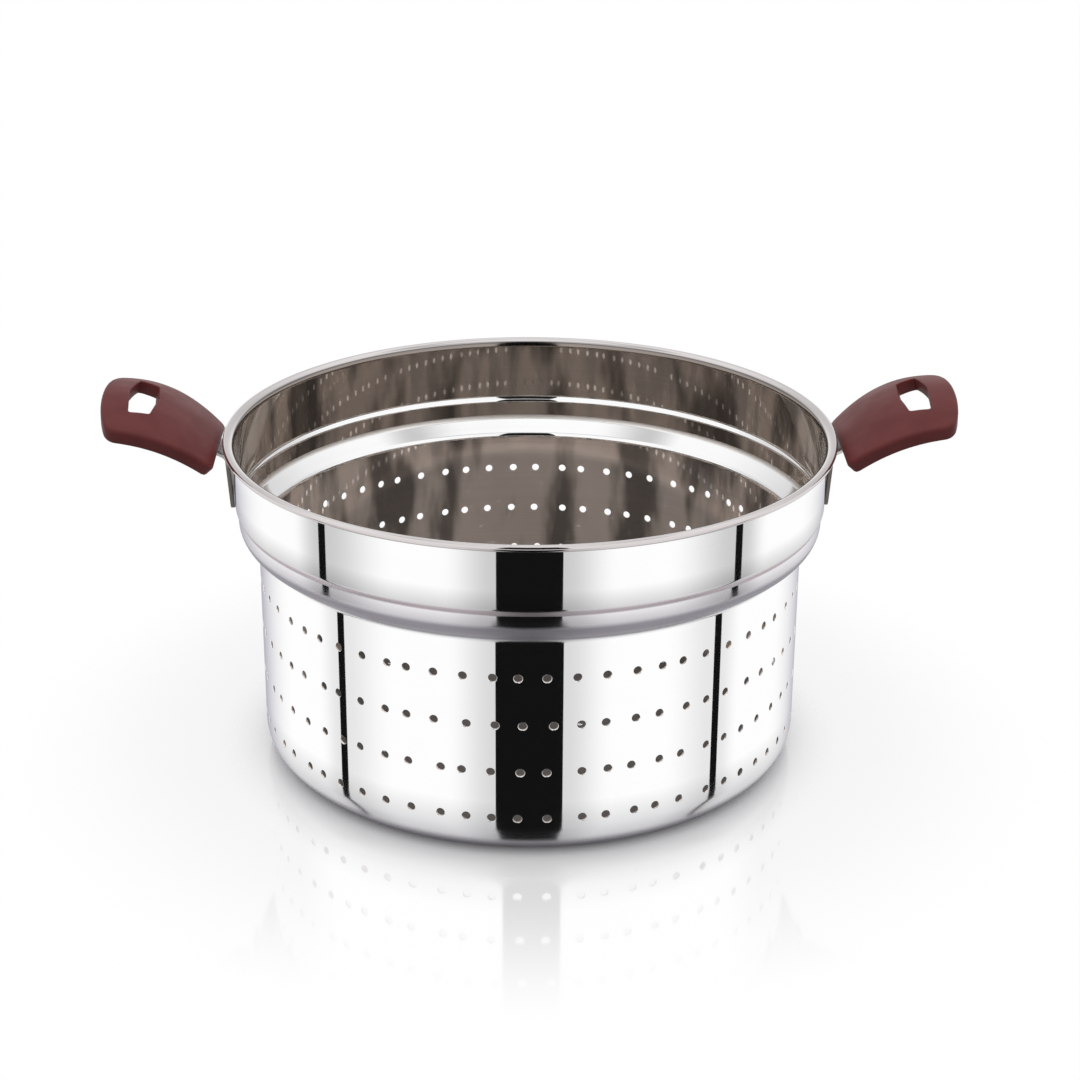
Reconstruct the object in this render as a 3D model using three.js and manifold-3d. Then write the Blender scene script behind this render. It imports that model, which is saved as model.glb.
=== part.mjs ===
// Strainer insert of a cooking pot: a deep-drawn, perforated steel basket with a stepped collar
// and a rolled rim, and two moulded grips on strap brackets that are spot-welded to the collar.
// Millimetres, +Z up. The origin is the centre of the underside of the base; the handles lie on X.

import * as THREE from 'three';
import { mergeGeometries, mergeVertices } from 'three/addons/utils/BufferGeometryUtils.js';
import Module from 'manifold-3d';

const wasm = await Module();
wasm.setup();

const degrees = THREE.MathUtils.degToRad;

// Basket, collar and rim: outside sizes of the drawn sheet, from the base upwards
const SHEET = 0.7;
const BASKET_RADIUS = 109.3;
const BASE_BEND = 12;
const BASKET_WALL = 77.7;
const SHOULDER_WIDTH = 7.6;
const SHOULDER_TILT = degrees(55);
const SHOULDER_INNER_BEND = 2;
const SHOULDER_OUTER_BEND = 7;
const COLLAR_FOOT = 4.4;
const STEP_WIDTH = 1.1;
const STEP_TILT = degrees(40);
const COLLAR_WALL = 23.4;
const FLARE_TILT = degrees(50);
const RIM_OVERHANG = 4;
const RIM_BEAD_RADIUS = 1.3;

// Drain holes: rows round the wall and rings in the base
const HOLE_DIAMETER = 3.2;
const HOLES_PER_ROW = 64;
const HOLE_ROWS = 4;
const ROW_FOOT_MARGIN = 5;
const ROW_HEAD_MARGIN = 14.5;
const BASE_RINGS = 4;
const BASE_RING_HOLES = 6;
const BASE_EDGE_MARGIN = 12;

// Grip: a plate bent to a rising arch, crowned across it and trimmed to its plan outline
const GRIP_RIM_GAP = 1.5;
const GRIP_DROP = 3.7;
const GRIP_REACH = 44.6;
const GRIP_RISE = 22.7;
const GRIP_ARCH_POWER = 2.2;
const GRIP_THICKNESS = 5.3;
const GRIP_INNER_WIDTH = 48.3;
const GRIP_INNER_BOW = 0.6;
const GRIP_OUTER_WIDTH = 62.8;
const GRIP_INNER_CROWN = 2.5;
const GRIP_OUTER_CROWN = 6.5;
const GRIP_SWELL = 19;
const GRIP_SWELL_WIDTH = 66.6;
const GRIP_TIP_BOW = 5.6;
const GRIP_TIP_FLAT = 49.3;
const GRIP_CORNER = 3.3;
const GRIP_TRIM = 3;

// Slot through the grip: an elongated hexagon along the rim, longer on its outer side
const SLOT_REACH = 28.9;
const SLOT_LENGTH = 34.6;
const SLOT_WAIST = 11.8;
const SLOT_END = 8.1;
const SLOT_SKEW = 1.3;

// Strap bracket: weld pad, neck and tongue of one bent strip
const STRAP_WIDTH = 16.5;
const STRAP_THICKNESS = 1.6;
const PAD_FOOT_GAP = 0.5;
const PAD_BEND = 2.8;
const PAD_LAP = 2;
const NECK_ANGLE = degrees(26);
const NECK_BEND = 10;
const TONGUE_LENGTH = 17;

// Screw and split lock washer under each grip
const SCREW_END_MARGIN = 8;
const SCREW_SHANK = 4;
const SCREW_HEAD = 7;
const SCREW_HEAD_HEIGHT = 2.2;
const SCREW_HEAD_ROUND = 0.8;
const SCREW_TIP = 0.7;
const RECESS_LENGTH = 3.6;
const RECESS_WIDTH = 0.9;
const RECESS_DEPTH = 1.1;
const WASHER_DIAMETER = 7.6;
const WASHER_HEIGHT = 1;
const WASHER_SPLIT = 0.8;
const SPOT_FACE = 9;
const SPOT_FACE_DEPTH = 0.35;

// Clearance between pieces that seat on, or pass through, each other
const CLEARANCE = 0.3;

// Facets
const HOLE_SIDES = 6;
const BEND_STEPS = 2;
const BEAD_STEPS = 5;
const ARCH_STEPS = 7;
const CROWN_STEPS = 8;
const CURVE_STEPS = 4;
const FASTENER_SIDES = 12;
const WELD_DISTANCE = 1e-4;
const FLATNESS = 1e-3;

const steel = { color: 0xd4d4d8, metalness: 1, roughness: 0.1 };
const strapSteel = { color: 0x8d8884, metalness: 1, roughness: 0.25 };
const fastenerSteel = { color: 0xb9b9bb, metalness: 1, roughness: 0.3 };
const maroonPlastic = { color: 0x6f3a3b, metalness: 0, roughness: 0.45 };

// A closed geometry as a solid that can be cut and joined
function solid(geometry) {
  const bare = new THREE.BufferGeometry();
  bare.setAttribute('position', geometry.getAttribute('position'));
  bare.setIndex(geometry.index);
  const merged = mergeVertices(bare, WELD_DISTANCE);
  const corners = merged.index.array;
  const triangles = [];
  for (let i = 0; i < corners.length; i += 3) {
    const [a, b, c] = corners.slice(i, i + 3);
    if (a !== b && b !== c && c !== a) triangles.push(a, b, c);
  }
  const vertProperties = new Float32Array(merged.getAttribute('position').array);
  const triVerts = new Uint32Array(triangles);
  return new wasm.Manifold(new wasm.Mesh({ numProp: 3, vertProperties, triVerts }));
}

// A solid as a named mesh with its own material; facets that lie flush are merged
function part(name, body, finish) {
  const mesh = body.asOriginal().simplify(FLATNESS).getMesh();
  const geometry = new THREE.BufferGeometry();
  geometry.setAttribute('position', new THREE.BufferAttribute(new Float32Array(mesh.vertProperties), 3));
  geometry.setIndex(new THREE.BufferAttribute(new Uint32Array(mesh.triVerts), 1));
  geometry.computeVertexNormals();
  const piece = new THREE.Mesh(geometry, new THREE.MeshStandardMaterial(finish));
  piece.name = name;
  return piece;
}

// A path of straight runs and bends; a turn is positive to the left, and without a radius it is a kink
function bentPath(start, heading, steps) {
  const points = [start.clone()];
  const at = start.clone();
  let angle = heading;
  for (const { run, turn = 0, radius = 0 } of steps) {
    at.x += run * Math.cos(angle);
    at.y += run * Math.sin(angle);
    points.push(at.clone());
    const swing = Math.sign(turn) * radius;
    const centre = new THREE.Vector2(at.x - swing * Math.sin(angle), at.y + swing * Math.cos(angle));
    for (let step = 0; step < BEND_STEPS && radius > 0; step += 1) {
      at.rotateAround(centre, turn / BEND_STEPS);
      points.push(at.clone());
    }
    angle += turn;
  }
  return points;
}

// The same path moved to its left by a distance, with mitred corners
function offsetPath(points, distance) {
  const normals = points.slice(1).map((point, i) => {
    const along = point.clone().sub(points[i]).normalize();
    return new THREE.Vector2(-along.y, along.x);
  });
  return points.map((point, i) => {
    const before = normals[Math.max(i - 1, 0)];
    const after = normals[Math.min(i, normals.length - 1)];
    const mitre = before.clone().add(after).normalize();
    return point.clone().addScaledVector(mitre, distance / mitre.dot(after));
  });
}

// A profile in radius and height, turned about Z
function revolve(profile, sides) {
  return new THREE.LatheGeometry(profile, sides).rotateX(Math.PI / 2);
}

// An outline in X and Y, raised from a low to a high level
function extrudeUp(shape, low, high) {
  const options = { depth: high - low, bevelEnabled: false, curveSegments: CURVE_STEPS };
  return new THREE.ExtrudeGeometry(shape, options).translate(0, 0, low);
}

// An outline in X and Z, given a width along Y and centred on it
function extrudeAcross(shape, width) {
  return extrudeUp(shape, -width / 2, width / 2).rotateX(Math.PI / 2);
}

// A round or many-sided bar along Z between two levels
function bar(radius, low, high, sides) {
  const geometry = new THREE.CylinderGeometry(radius, radius, high - low, sides);
  return geometry.rotateX(Math.PI / 2).translate(0, 0, (low + high) / 2);
}

// Drawn sheet: the outer surface from the middle of the base to the rolled rim, and its inner offset
const tiltedRun = (width, tilt, bends) => (width - bends * (1 - Math.cos(tilt))) / Math.sin(tilt);
const shoulderRun = tiltedRun(SHOULDER_WIDTH, SHOULDER_TILT, SHOULDER_INNER_BEND + SHOULDER_OUTER_BEND);
const beadReach = RIM_OVERHANG - RIM_BEAD_RADIUS + SHEET / 2 * Math.cos(FLARE_TILT);
const beadAxisRun = beadReach / Math.sin(FLARE_TILT);
const beadBite = Math.sqrt(RIM_BEAD_RADIUS ** 2 - (SHEET / 2) ** 2);
const sheetOuter = bentPath(new THREE.Vector2(0, 0), 0, [
  { run: BASKET_RADIUS - BASE_BEND, turn: Math.PI / 2, radius: BASE_BEND },
  { run: BASKET_WALL, turn: -SHOULDER_TILT, radius: SHOULDER_INNER_BEND },
  { run: shoulderRun, turn: SHOULDER_TILT, radius: SHOULDER_OUTER_BEND },
  { run: COLLAR_FOOT, turn: -STEP_TILT },
  { run: tiltedRun(STEP_WIDTH, STEP_TILT, 0), turn: STEP_TILT },
  { run: COLLAR_WALL, turn: -FLARE_TILT },
  { run: beadAxisRun - beadBite },
]);
const sheetInner = offsetPath(sheetOuter, SHEET);
const collarRadius = BASKET_RADIUS + SHOULDER_WIDTH + STEP_WIDTH;
const rimRadius = collarRadius + RIM_OVERHANG;
const collarLow = sheetOuter.at(-3).y;
const collarHigh = sheetOuter.at(-2).y;
const rimHeight = collarHigh + beadAxisRun * Math.cos(FLARE_TILT) + SHEET / 2 * Math.sin(FLARE_TILT);

// The rolled edge, from the outer surface of the flare round to its inner surface
function rimBead() {
  const centre = new THREE.Vector2(rimRadius - RIM_BEAD_RADIUS, rimHeight);
  const back = Math.PI / 2 - FLARE_TILT + Math.PI;
  const half = Math.asin(SHEET / 2 / RIM_BEAD_RADIUS);
  const points = [];
  for (let step = 1; step < BEAD_STEPS; step += 1) {
    const angle = THREE.MathUtils.lerp(back + half, back - half + 2 * Math.PI, step / BEAD_STEPS);
    const reach = new THREE.Vector2(Math.cos(angle), Math.sin(angle)).multiplyScalar(RIM_BEAD_RADIUS);
    points.push(centre.clone().add(reach));
  }
  return points;
}

// Holes of the wall, each in the middle of a facet, and holes of the base in even rings
function drainHoles() {
  const radius = HOLE_DIAMETER / 2;
  const firstRow = BASE_BEND + ROW_FOOT_MARGIN;
  const lastRow = BASE_BEND + BASKET_WALL - ROW_HEAD_MARGIN;
  const holes = [];
  for (let row = 0; row < HOLE_ROWS; row += 1) {
    const height = THREE.MathUtils.lerp(firstRow, lastRow, row / (HOLE_ROWS - 1));
    for (let i = 0; i < HOLES_PER_ROW; i += 1) {
      const hole = bar(radius, BASKET_RADIUS - 4 * SHEET, BASKET_RADIUS + SHEET, HOLE_SIDES);
      const turn = (i + 0.5) * 2 * Math.PI / HOLES_PER_ROW;
      holes.push(hole.rotateY(Math.PI / 2).translate(0, 0, height).rotateZ(turn));
    }
  }
  const ringPitch = (BASKET_RADIUS - BASE_BEND - BASE_EDGE_MARGIN) / BASE_RINGS;
  for (let ring = 1; ring <= BASE_RINGS; ring += 1) {
    const count = ring * BASE_RING_HOLES;
    for (let i = 0; i < count; i += 1) {
      const hole = bar(radius, -SHEET, 2 * SHEET, HOLE_SIDES);
      holes.push(hole.translate(ring * ringPitch, 0, 0).rotateZ(i * 2 * Math.PI / count));
    }
  }
  return solid(mergeGeometries(holes));
}

function strainerBody() {
  const profile = [...sheetOuter, ...rimBead(), ...sheetInner.toReversed()];
  return solid(revolve(profile, HOLES_PER_ROW)).subtract(drainHoles());
}

// Arch of the grip in X and Z: it leaves the rim steeply and ends level
const gripInner = rimRadius + GRIP_RIM_GAP;
const gripFoot = rimHeight - GRIP_DROP;
const toTip = (reach) => Math.max(1 - reach / GRIP_REACH, 0);
const archHeight = (reach) => gripFoot + GRIP_RISE * (1 - toTip(reach) ** GRIP_ARCH_POWER);
const footSlope = GRIP_ARCH_POWER * GRIP_RISE / GRIP_REACH;
const archSlope = (reach) => footSlope * toTip(reach) ** (GRIP_ARCH_POWER - 1);
const middle = (reach) => {
  const slope = Math.atan(archSlope(reach));
  return new THREE.Vector2(
    gripInner + reach - GRIP_INNER_BOW * toTip(reach) + GRIP_THICKNESS / 2 * Math.sin(slope),
    archHeight(reach) - GRIP_THICKNESS / 2 * Math.cos(slope),
  );
};
const mouth = middle(0);

// Tongue of the bracket: a straight chord of the middle of the grip's thickness, which sags below it
const tongueReach = TONGUE_LENGTH * Math.cos(Math.atan(archSlope(TONGUE_LENGTH / 2)));
const tongueAngle = middle(tongueReach).sub(mouth).angle();
const screwReach = TONGUE_LENGTH - SCREW_END_MARGIN;
const screwMiddle = middle(tongueReach * screwReach / TONGUE_LENGTH);
const tongueSag = screwMiddle.rotateAround(mouth, -tongueAngle).y - mouth.y;
const screwPlace = new THREE.Vector3(
  mouth.x + screwReach * Math.cos(tongueAngle),
  0,
  mouth.y + screwReach * Math.sin(tongueAngle),
);
const spotFaceLevel = tongueSag + SPOT_FACE_DEPTH - GRIP_THICKNESS / 2;
const washerTop = spotFaceLevel - CLEARANCE;
const headTop = washerTop - WASHER_HEIGHT - CLEARANCE;
const screwTip = STRAP_THICKNESS / 2 + SCREW_TIP;
const atScrew = (geometry) => geometry.rotateY(-tongueAngle).translate(...screwPlace);
const screwHole = () => solid(atScrew(bar(
  SCREW_SHANK / 2 + CLEARANCE, -GRIP_THICKNESS, screwTip + CLEARANCE, FASTENER_SIDES,
)));

// The plate before trimming: a block whose length follows the arch and whose width follows the crown,
// with the end at the rim bowed towards it
function gripBlank() {
  const innerHalf = GRIP_INNER_WIDTH / 2;
  const innerCrown = GRIP_INNER_CROWN / innerHalf ** 2;
  const outerCrown = GRIP_OUTER_CROWN / (GRIP_OUTER_WIDTH / 2) ** 2;
  const length = GRIP_REACH + GRIP_TRIM;
  const width = GRIP_OUTER_WIDTH + GRIP_TRIM;
  const block = new THREE.BoxGeometry(length, width, GRIP_THICKNESS, ARCH_STEPS, CROWN_STEPS, 1);
  block.translate(length / 2, 0, -GRIP_THICKNESS / 2);
  const corners = block.getAttribute('position');
  for (let i = 0; i < corners.count; i += 1) {
    const [reach, across, level] = [corners.getX(i), corners.getY(i), corners.getZ(i)];
    const slope = Math.atan(archSlope(reach));
    const crown = THREE.MathUtils.lerp(innerCrown, outerCrown, reach / GRIP_REACH);
    const bow = GRIP_INNER_BOW * (1 - (across / innerHalf) ** 2) * toTip(reach);
    const x = gripInner + reach - bow - level * Math.sin(slope);
    const z = archHeight(reach) - crown * across ** 2 + level * Math.cos(slope);
    corners.setXYZ(i, x, across, z);
  }
  return solid(block);
}

// Plan outline: sides that swell outwards, tight corners and a bowed tip
function gripOutline() {
  const [inner, outer] = [GRIP_INNER_WIDTH / 2, GRIP_OUTER_WIDTH / 2];
  const [swell, flat] = [GRIP_SWELL_WIDTH / 2, GRIP_TIP_FLAT / 2];
  const tip = gripInner + GRIP_REACH;
  const corner = tip - GRIP_TIP_BOW;
  const sideAngle = Math.atan2(outer - swell, GRIP_REACH - GRIP_TIP_BOW - GRIP_SWELL);
  const tipAngle = Math.atan2(flat - outer, GRIP_TIP_BOW);
  const sideEnd = [corner - GRIP_CORNER * Math.cos(sideAngle), outer - GRIP_CORNER * Math.sin(sideAngle)];
  const tipEnd = [corner + GRIP_CORNER * Math.cos(tipAngle), outer + GRIP_CORNER * Math.sin(tipAngle)];
  const shape = new THREE.Shape();
  shape.moveTo(gripInner - GRIP_TRIM, -inner);
  shape.lineTo(gripInner, -inner);
  shape.quadraticCurveTo(gripInner + GRIP_SWELL, -swell, sideEnd[0], -sideEnd[1]);
  shape.quadraticCurveTo(corner, -outer, tipEnd[0], -tipEnd[1]);
  shape.quadraticCurveTo(tip, -flat, tip, 0);
  shape.quadraticCurveTo(tip, flat, ...tipEnd);
  shape.quadraticCurveTo(corner, outer, ...sideEnd);
  shape.quadraticCurveTo(gripInner + GRIP_SWELL, swell, gripInner, inner);
  shape.lineTo(gripInner - GRIP_TRIM, inner);
  return shape;
}

// Slot cut square to the arch
function gripSlot() {
  const [half, waist, end] = [SLOT_LENGTH / 2, SLOT_WAIST / 2, SLOT_END / 2];
  const shape = new THREE.Shape([
    new THREE.Vector2(-waist, 0),
    new THREE.Vector2(-end, SLOT_SKEW - half),
    new THREE.Vector2(end, -half - SLOT_SKEW),
    new THREE.Vector2(waist, 0),
    new THREE.Vector2(end, half + SLOT_SKEW),
    new THREE.Vector2(-end, half - SLOT_SKEW),
  ]);
  return extrudeUp(shape, -GRIP_OUTER_CROWN - 2 * GRIP_THICKNESS, GRIP_THICKNESS)
    .rotateY(-Math.atan(archSlope(SLOT_REACH)))
    .translate(gripInner + SLOT_REACH, 0, archHeight(SLOT_REACH));
}

function handleGrip() {
  const low = gripFoot - GRIP_OUTER_CROWN - 2 * GRIP_THICKNESS;
  const high = gripFoot + GRIP_RISE + GRIP_THICKNESS;
  const socketLength = TONGUE_LENGTH + GRIP_TRIM + CLEARANCE;
  const socket = new THREE.BoxGeometry(
    socketLength, STRAP_WIDTH + 2 * CLEARANCE, STRAP_THICKNESS + 2 * CLEARANCE,
  ).translate(socketLength / 2 - GRIP_TRIM - screwReach, 0, 0);
  const spotFace = bar(SPOT_FACE / 2, -2 * GRIP_THICKNESS, spotFaceLevel, FASTENER_SIDES);
  return gripBlank()
    .intersect(solid(extrudeUp(gripOutline(), low, high)))
    .subtract(solid(gripSlot()))
    .subtract(solid(atScrew(socket)))
    .subtract(solid(atScrew(spotFace)))
    .subtract(screwHole());
}

function handleBracket() {
  const inner = collarRadius + CLEARANCE;
  const centre = inner + STRAP_THICKNESS / 2;
  const neckStart = centre + PAD_BEND * (1 - Math.sin(NECK_ANGLE));
  const neckFoot = mouth.y - (mouth.x - neckStart) * Math.tan(NECK_ANGLE);
  const padFoot = collarLow + PAD_FOOT_GAP;
  const padHead = neckFoot - PAD_BEND * Math.cos(NECK_ANGLE);
  const tongueTurn = tongueAngle - NECK_ANGLE;
  const tangent = NECK_BEND * Math.tan(tongueTurn / 2);
  const neckRun = (mouth.x - neckStart) / Math.cos(NECK_ANGLE) - tangent;

  const ring = [
    new THREE.Vector2(inner, padFoot),
    new THREE.Vector2(inner + STRAP_THICKNESS, padFoot),
    new THREE.Vector2(inner + STRAP_THICKNESS, padHead),
    new THREE.Vector2(inner, padHead),
    new THREE.Vector2(inner, padFoot),
  ];
  const width = new THREE.BoxGeometry(2 * collarRadius, STRAP_WIDTH, 2 * rimHeight);
  width.translate(collarRadius, 0, rimHeight);
  const pad = solid(revolve(ring, HOLES_PER_ROW)).intersect(solid(width));

  const line = bentPath(new THREE.Vector2(centre, padHead - PAD_LAP), Math.PI / 2, [
    { run: PAD_LAP, turn: NECK_ANGLE - Math.PI / 2, radius: PAD_BEND },
    { run: neckRun, turn: tongueTurn, radius: NECK_BEND },
    { run: TONGUE_LENGTH - tangent },
  ]);
  const left = offsetPath(line, STRAP_THICKNESS / 2);
  const right = offsetPath(line, -STRAP_THICKNESS / 2);
  const strap = solid(extrudeAcross(new THREE.Shape([...right, ...left.toReversed()]), STRAP_WIDTH));
  return pad.add(strap).subtract(screwHole());
}

function handleScrew() {
  const headEnd = headTop - SCREW_HEAD_HEIGHT;
  const [shank, head] = [SCREW_SHANK / 2, SCREW_HEAD / 2];
  const profile = [
    new THREE.Vector2(0, headEnd),
    new THREE.Vector2(head - SCREW_HEAD_ROUND, headEnd),
    new THREE.Vector2(head, headEnd + SCREW_HEAD_ROUND),
    new THREE.Vector2(head, headTop),
    new THREE.Vector2(shank, headTop),
    new THREE.Vector2(shank, screwTip),
    new THREE.Vector2(0, screwTip),
  ];
  const recess = new THREE.BoxGeometry(RECESS_LENGTH, RECESS_WIDTH, 2 * RECESS_DEPTH);
  recess.translate(0, 0, headEnd);
  const cross = solid(recess).add(solid(recess.clone().rotateZ(Math.PI / 2)));
  return solid(revolve(profile, FASTENER_SIDES)).subtract(cross);
}

function lockWasher() {
  const [inner, outer] = [SCREW_SHANK / 2 + CLEARANCE, WASHER_DIAMETER / 2];
  const low = washerTop - WASHER_HEIGHT;
  const profile = [
    new THREE.Vector2(inner, low),
    new THREE.Vector2(outer, low),
    new THREE.Vector2(outer, washerTop),
    new THREE.Vector2(inner, washerTop),
    new THREE.Vector2(inner, low),
  ];
  const split = new THREE.BoxGeometry(outer, WASHER_SPLIT, 3 * WASHER_HEIGHT).translate(outer, 0, low);
  return solid(revolve(profile, FASTENER_SIDES)).subtract(solid(split));
}

// One handle on +X; the other is the same handle turned half round
function handle(side, turn) {
  const fastening = new THREE.Group();
  fastening.position.copy(screwPlace);
  fastening.rotation.y = -tongueAngle;
  fastening.add(part(`${side}_handle_screw`, handleScrew(), fastenerSteel));
  fastening.add(part(`${side}_lock_washer`, lockWasher(), fastenerSteel));

  const group = new THREE.Group();
  group.rotation.z = turn;
  group.add(part(`${side}_handle_bracket`, handleBracket(), strapSteel));
  group.add(part(`${side}_handle_grip`, handleGrip(), maroonPlastic));
  group.add(fastening);
  return group;
}

const strainer = new THREE.Group();
strainer.add(part('strainer_body', strainerBody(), steel));
strainer.add(handle('right', 0));
strainer.add(handle('left', Math.PI));

export default strainer;
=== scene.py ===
"""Perforated strainer insert of a cooking pot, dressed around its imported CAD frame."""

import logging
from dataclasses import dataclass, replace
from enum import Enum
from typing import Any

import bpy
import numpy as np
from mathutils import Matrix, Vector
from mathutils.geometry import delaunay_2d_cdt


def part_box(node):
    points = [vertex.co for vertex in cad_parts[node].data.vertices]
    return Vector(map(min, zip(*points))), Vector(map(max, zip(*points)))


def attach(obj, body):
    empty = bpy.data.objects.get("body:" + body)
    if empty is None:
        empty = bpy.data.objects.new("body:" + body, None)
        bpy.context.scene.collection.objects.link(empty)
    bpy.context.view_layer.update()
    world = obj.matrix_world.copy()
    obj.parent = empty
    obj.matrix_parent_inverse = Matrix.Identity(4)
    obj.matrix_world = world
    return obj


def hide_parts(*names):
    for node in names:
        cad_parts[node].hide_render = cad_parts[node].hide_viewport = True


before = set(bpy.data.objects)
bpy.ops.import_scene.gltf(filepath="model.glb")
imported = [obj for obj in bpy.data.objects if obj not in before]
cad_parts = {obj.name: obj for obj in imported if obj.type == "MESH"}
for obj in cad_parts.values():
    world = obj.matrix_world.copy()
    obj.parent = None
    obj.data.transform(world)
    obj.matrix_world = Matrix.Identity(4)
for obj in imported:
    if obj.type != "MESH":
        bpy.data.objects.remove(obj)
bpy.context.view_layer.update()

LOG = logging.getLogger("strainer")
ROOT = "root"
MM = 0.001
TURN = 2.0 * np.pi
OUTWARD = np.array([1.0, 0.0])

Array = np.ndarray
Colour = tuple[float, float, float]
Range = tuple[float, float]


class Slot(Enum):
    """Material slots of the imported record."""

    SHEET = "polished_steel"
    STRAP = "strap_steel"
    GRIP = "grip_plastic"
    FASTENER = "fastener_steel"


class Side(Enum):
    """The two handles, with the sign that carries X and Y of the right one to each."""

    RIGHT = 1
    LEFT = -1


class SheetFace(Enum):
    """Regions of the sheet, by the finish that each has."""

    OUTSIDE = 0
    INSIDE = 1
    LEDGE = 2
    RIM = 3
    LIP = 4


# Shader graph

class Signal:
    """A shader socket that Python expressions work on."""

    def __init__(self, graph: "NodeGraph", socket: bpy.types.NodeSocket) -> None:
        """Keep the graph and the output socket."""
        self.graph = graph
        self.socket = socket

    def _math(self, operation: str, first: Any, second: Any) -> "Signal":
        """Add one Math node and return its result."""
        return self.graph.node("ShaderNodeMath", {"operation": operation}, {0: first, 1: second})

    def __add__(self, other: Any) -> "Signal":
        """Sum of two values."""
        return self._math("ADD", self, other)

    def __sub__(self, other: Any) -> "Signal":
        """Difference of two values."""
        return self._math("SUBTRACT", self, other)

    def __rsub__(self, other: Any) -> "Signal":
        """Difference from a plain number."""
        return self._math("SUBTRACT", other, self)

    def __mul__(self, other: Any) -> "Signal":
        """Product of two values."""
        return self._math("MULTIPLY", self, other)

    def __pow__(self, other: Any) -> "Signal":
        """Power of a value."""
        return self._math("POWER", self, other)

    def at_least(self, floor: float) -> "Signal":
        """The larger of the value and a number."""
        return self._math("MAXIMUM", self, floor)

    def at_most(self, ceiling: float) -> "Signal":
        """The smaller of the value and a number."""
        return self._math("MINIMUM", self, ceiling)


def fill_ramp(ramp: bpy.types.ColorRamp, stops: list[tuple[float, tuple[float, ...]]]) -> None:
    """Give a colour ramp its stops.

    Args:
        ramp: A new ramp, with Blender's own two stops.
        stops: Each stop's place and its colour with alpha.
    """
    for _ in stops[2:]:
        ramp.elements.new(1.0)
    for element, (place, colour) in zip(ramp.elements, stops):
        element.position = place
        element.color = colour


class NodeGraph:
    """The nodes of one material or of the world."""

    def __init__(self, owner: bpy.types.ID) -> None:
        """Start an empty node tree on a material or world."""
        owner.use_nodes = True
        self.tree = owner.node_tree
        self.tree.nodes.clear()

    def node(
        self,
        kind: str,
        settings: dict[str, Any] | None = None,
        inputs: dict[int | str, Any] | None = None,
        output: int | str = 0,
    ) -> Signal | None:
        """Add a node.

        Args:
            kind: Blender's type name of the node.
            settings: Properties of the node or the stops of its colour ramp, which are set first.
            inputs: Values or signals for its input sockets, by name or number.
            output: The output socket that is wanted.

        Returns:
            The wanted output as a signal, or none where the node has no outputs.
        """
        made = self.tree.nodes.new(kind)
        for name, value in (settings or {}).items():
            if name == "stops":
                fill_ramp(made.color_ramp, value)
            else:
                setattr(made, name, value)
        for name, value in (inputs or {}).items():
            if isinstance(value, Signal):
                self.tree.links.new(value.socket, made.inputs[name])
            else:
                made.inputs[name].default_value = value
        return Signal(self, made.outputs[output]) if len(made.outputs) else None

    def place(self) -> Signal:
        """Object coordinates, in metres."""
        return self.node("ShaderNodeTexCoord", output="Object")

    def axis(self, vector: Signal, name: str) -> Signal:
        """One coordinate of a vector."""
        return self.node("ShaderNodeSeparateXYZ", inputs={0: vector}, output=name)

    def stretch(self, vector: Signal, scale: Colour) -> Signal:
        """A vector with each coordinate times its own factor."""
        return self.node("ShaderNodeVectorMath", {"operation": "MULTIPLY"}, {0: vector, 1: scale})

    def noise(self, vector: Signal, scale: float, detail: float) -> Signal:
        """Noise from 0 to 1 with a number of spots to the metre."""
        return self.node(
            "ShaderNodeTexNoise", inputs={"Vector": vector, "Scale": scale, "Detail": detail}
        )

    def ramp(self, value: Signal, low: float, high: float) -> Signal:
        """A smooth step from 0 at low to 1 at high."""
        return self.node(
            "ShaderNodeMapRange",
            {"interpolation_type": "SMOOTHSTEP"},
            {"Value": value, "From Min": low, "From Max": high},
        )

    def mix(self, share: Signal, first: Colour | Signal, second: Colour | Signal) -> Signal:
        """A colour between two others."""
        start, end = (c if isinstance(c, Signal) else (*c, 1.0) for c in (first, second))
        return self.node(
            "ShaderNodeMix", {"data_type": "RGBA"}, {0: share, 6: start, 7: end}, output=2
        )

    def less(self, first: Any, second: Any) -> Signal:
        """One where the first value is less than the second, else zero."""
        return self.node("ShaderNodeMath", {"operation": "LESS_THAN"}, {0: first, 1: second})

    def shade(self, colour: Signal, value: Signal) -> Signal:
        """A colour times a value."""
        return self.node(
            "ShaderNodeVectorMath", {"operation": "SCALE"}, {"Vector": colour, "Scale": value}
        )

    def bump(self, height: Signal, distance: float, strength: float) -> Signal:
        """A normal that follows a height in units of distance."""
        return self.node(
            "ShaderNodeBump",
            inputs={"Height": height, "Distance": distance, "Strength": strength},
        )

    def surface(self, shader: Signal) -> None:
        """Make a shader the surface of the material."""
        self.node("ShaderNodeOutputMaterial", inputs={"Surface": shader})


def grey(level: float) -> tuple[float, float, float, float]:
    """A grey of that level, with alpha."""
    return (level, level, level, 1.0)


def new_material(name: str) -> tuple[bpy.types.Material, NodeGraph]:
    """A material of that name and its empty graph."""
    material = bpy.data.materials.new(name)
    return material, NodeGraph(material)


# Finishes; the sheet's colours by height hold painted shade and painted reflections

@dataclass(frozen=True)
class Zone:
    """A height on the sheet, in millimetres, with its colour, often painted shade and painted
    reflections, and its roughness; even between heights.
    """

    height: float
    tint_and_shade: Colour
    roughness: float


@dataclass(frozen=True)
class Finish:
    """A finish that becomes one material, shared by all the pieces that have it."""

    name: str

    def sockets(self, graph: NodeGraph) -> dict[str, Any]:
        """Values and signals for the sockets of the surface's shader."""
        raise NotImplementedError

    def make(self) -> bpy.types.Material:
        """The finish's material, built when it is first asked for.

        Returns:
            A material with one Principled shader.
        """
        material = bpy.data.materials.get(self.name)
        if material is None:
            material, graph = new_material(self.name)
            graph.surface(graph.node("ShaderNodeBsdfPrincipled", inputs=self.sockets(graph)))
        return material


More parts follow.
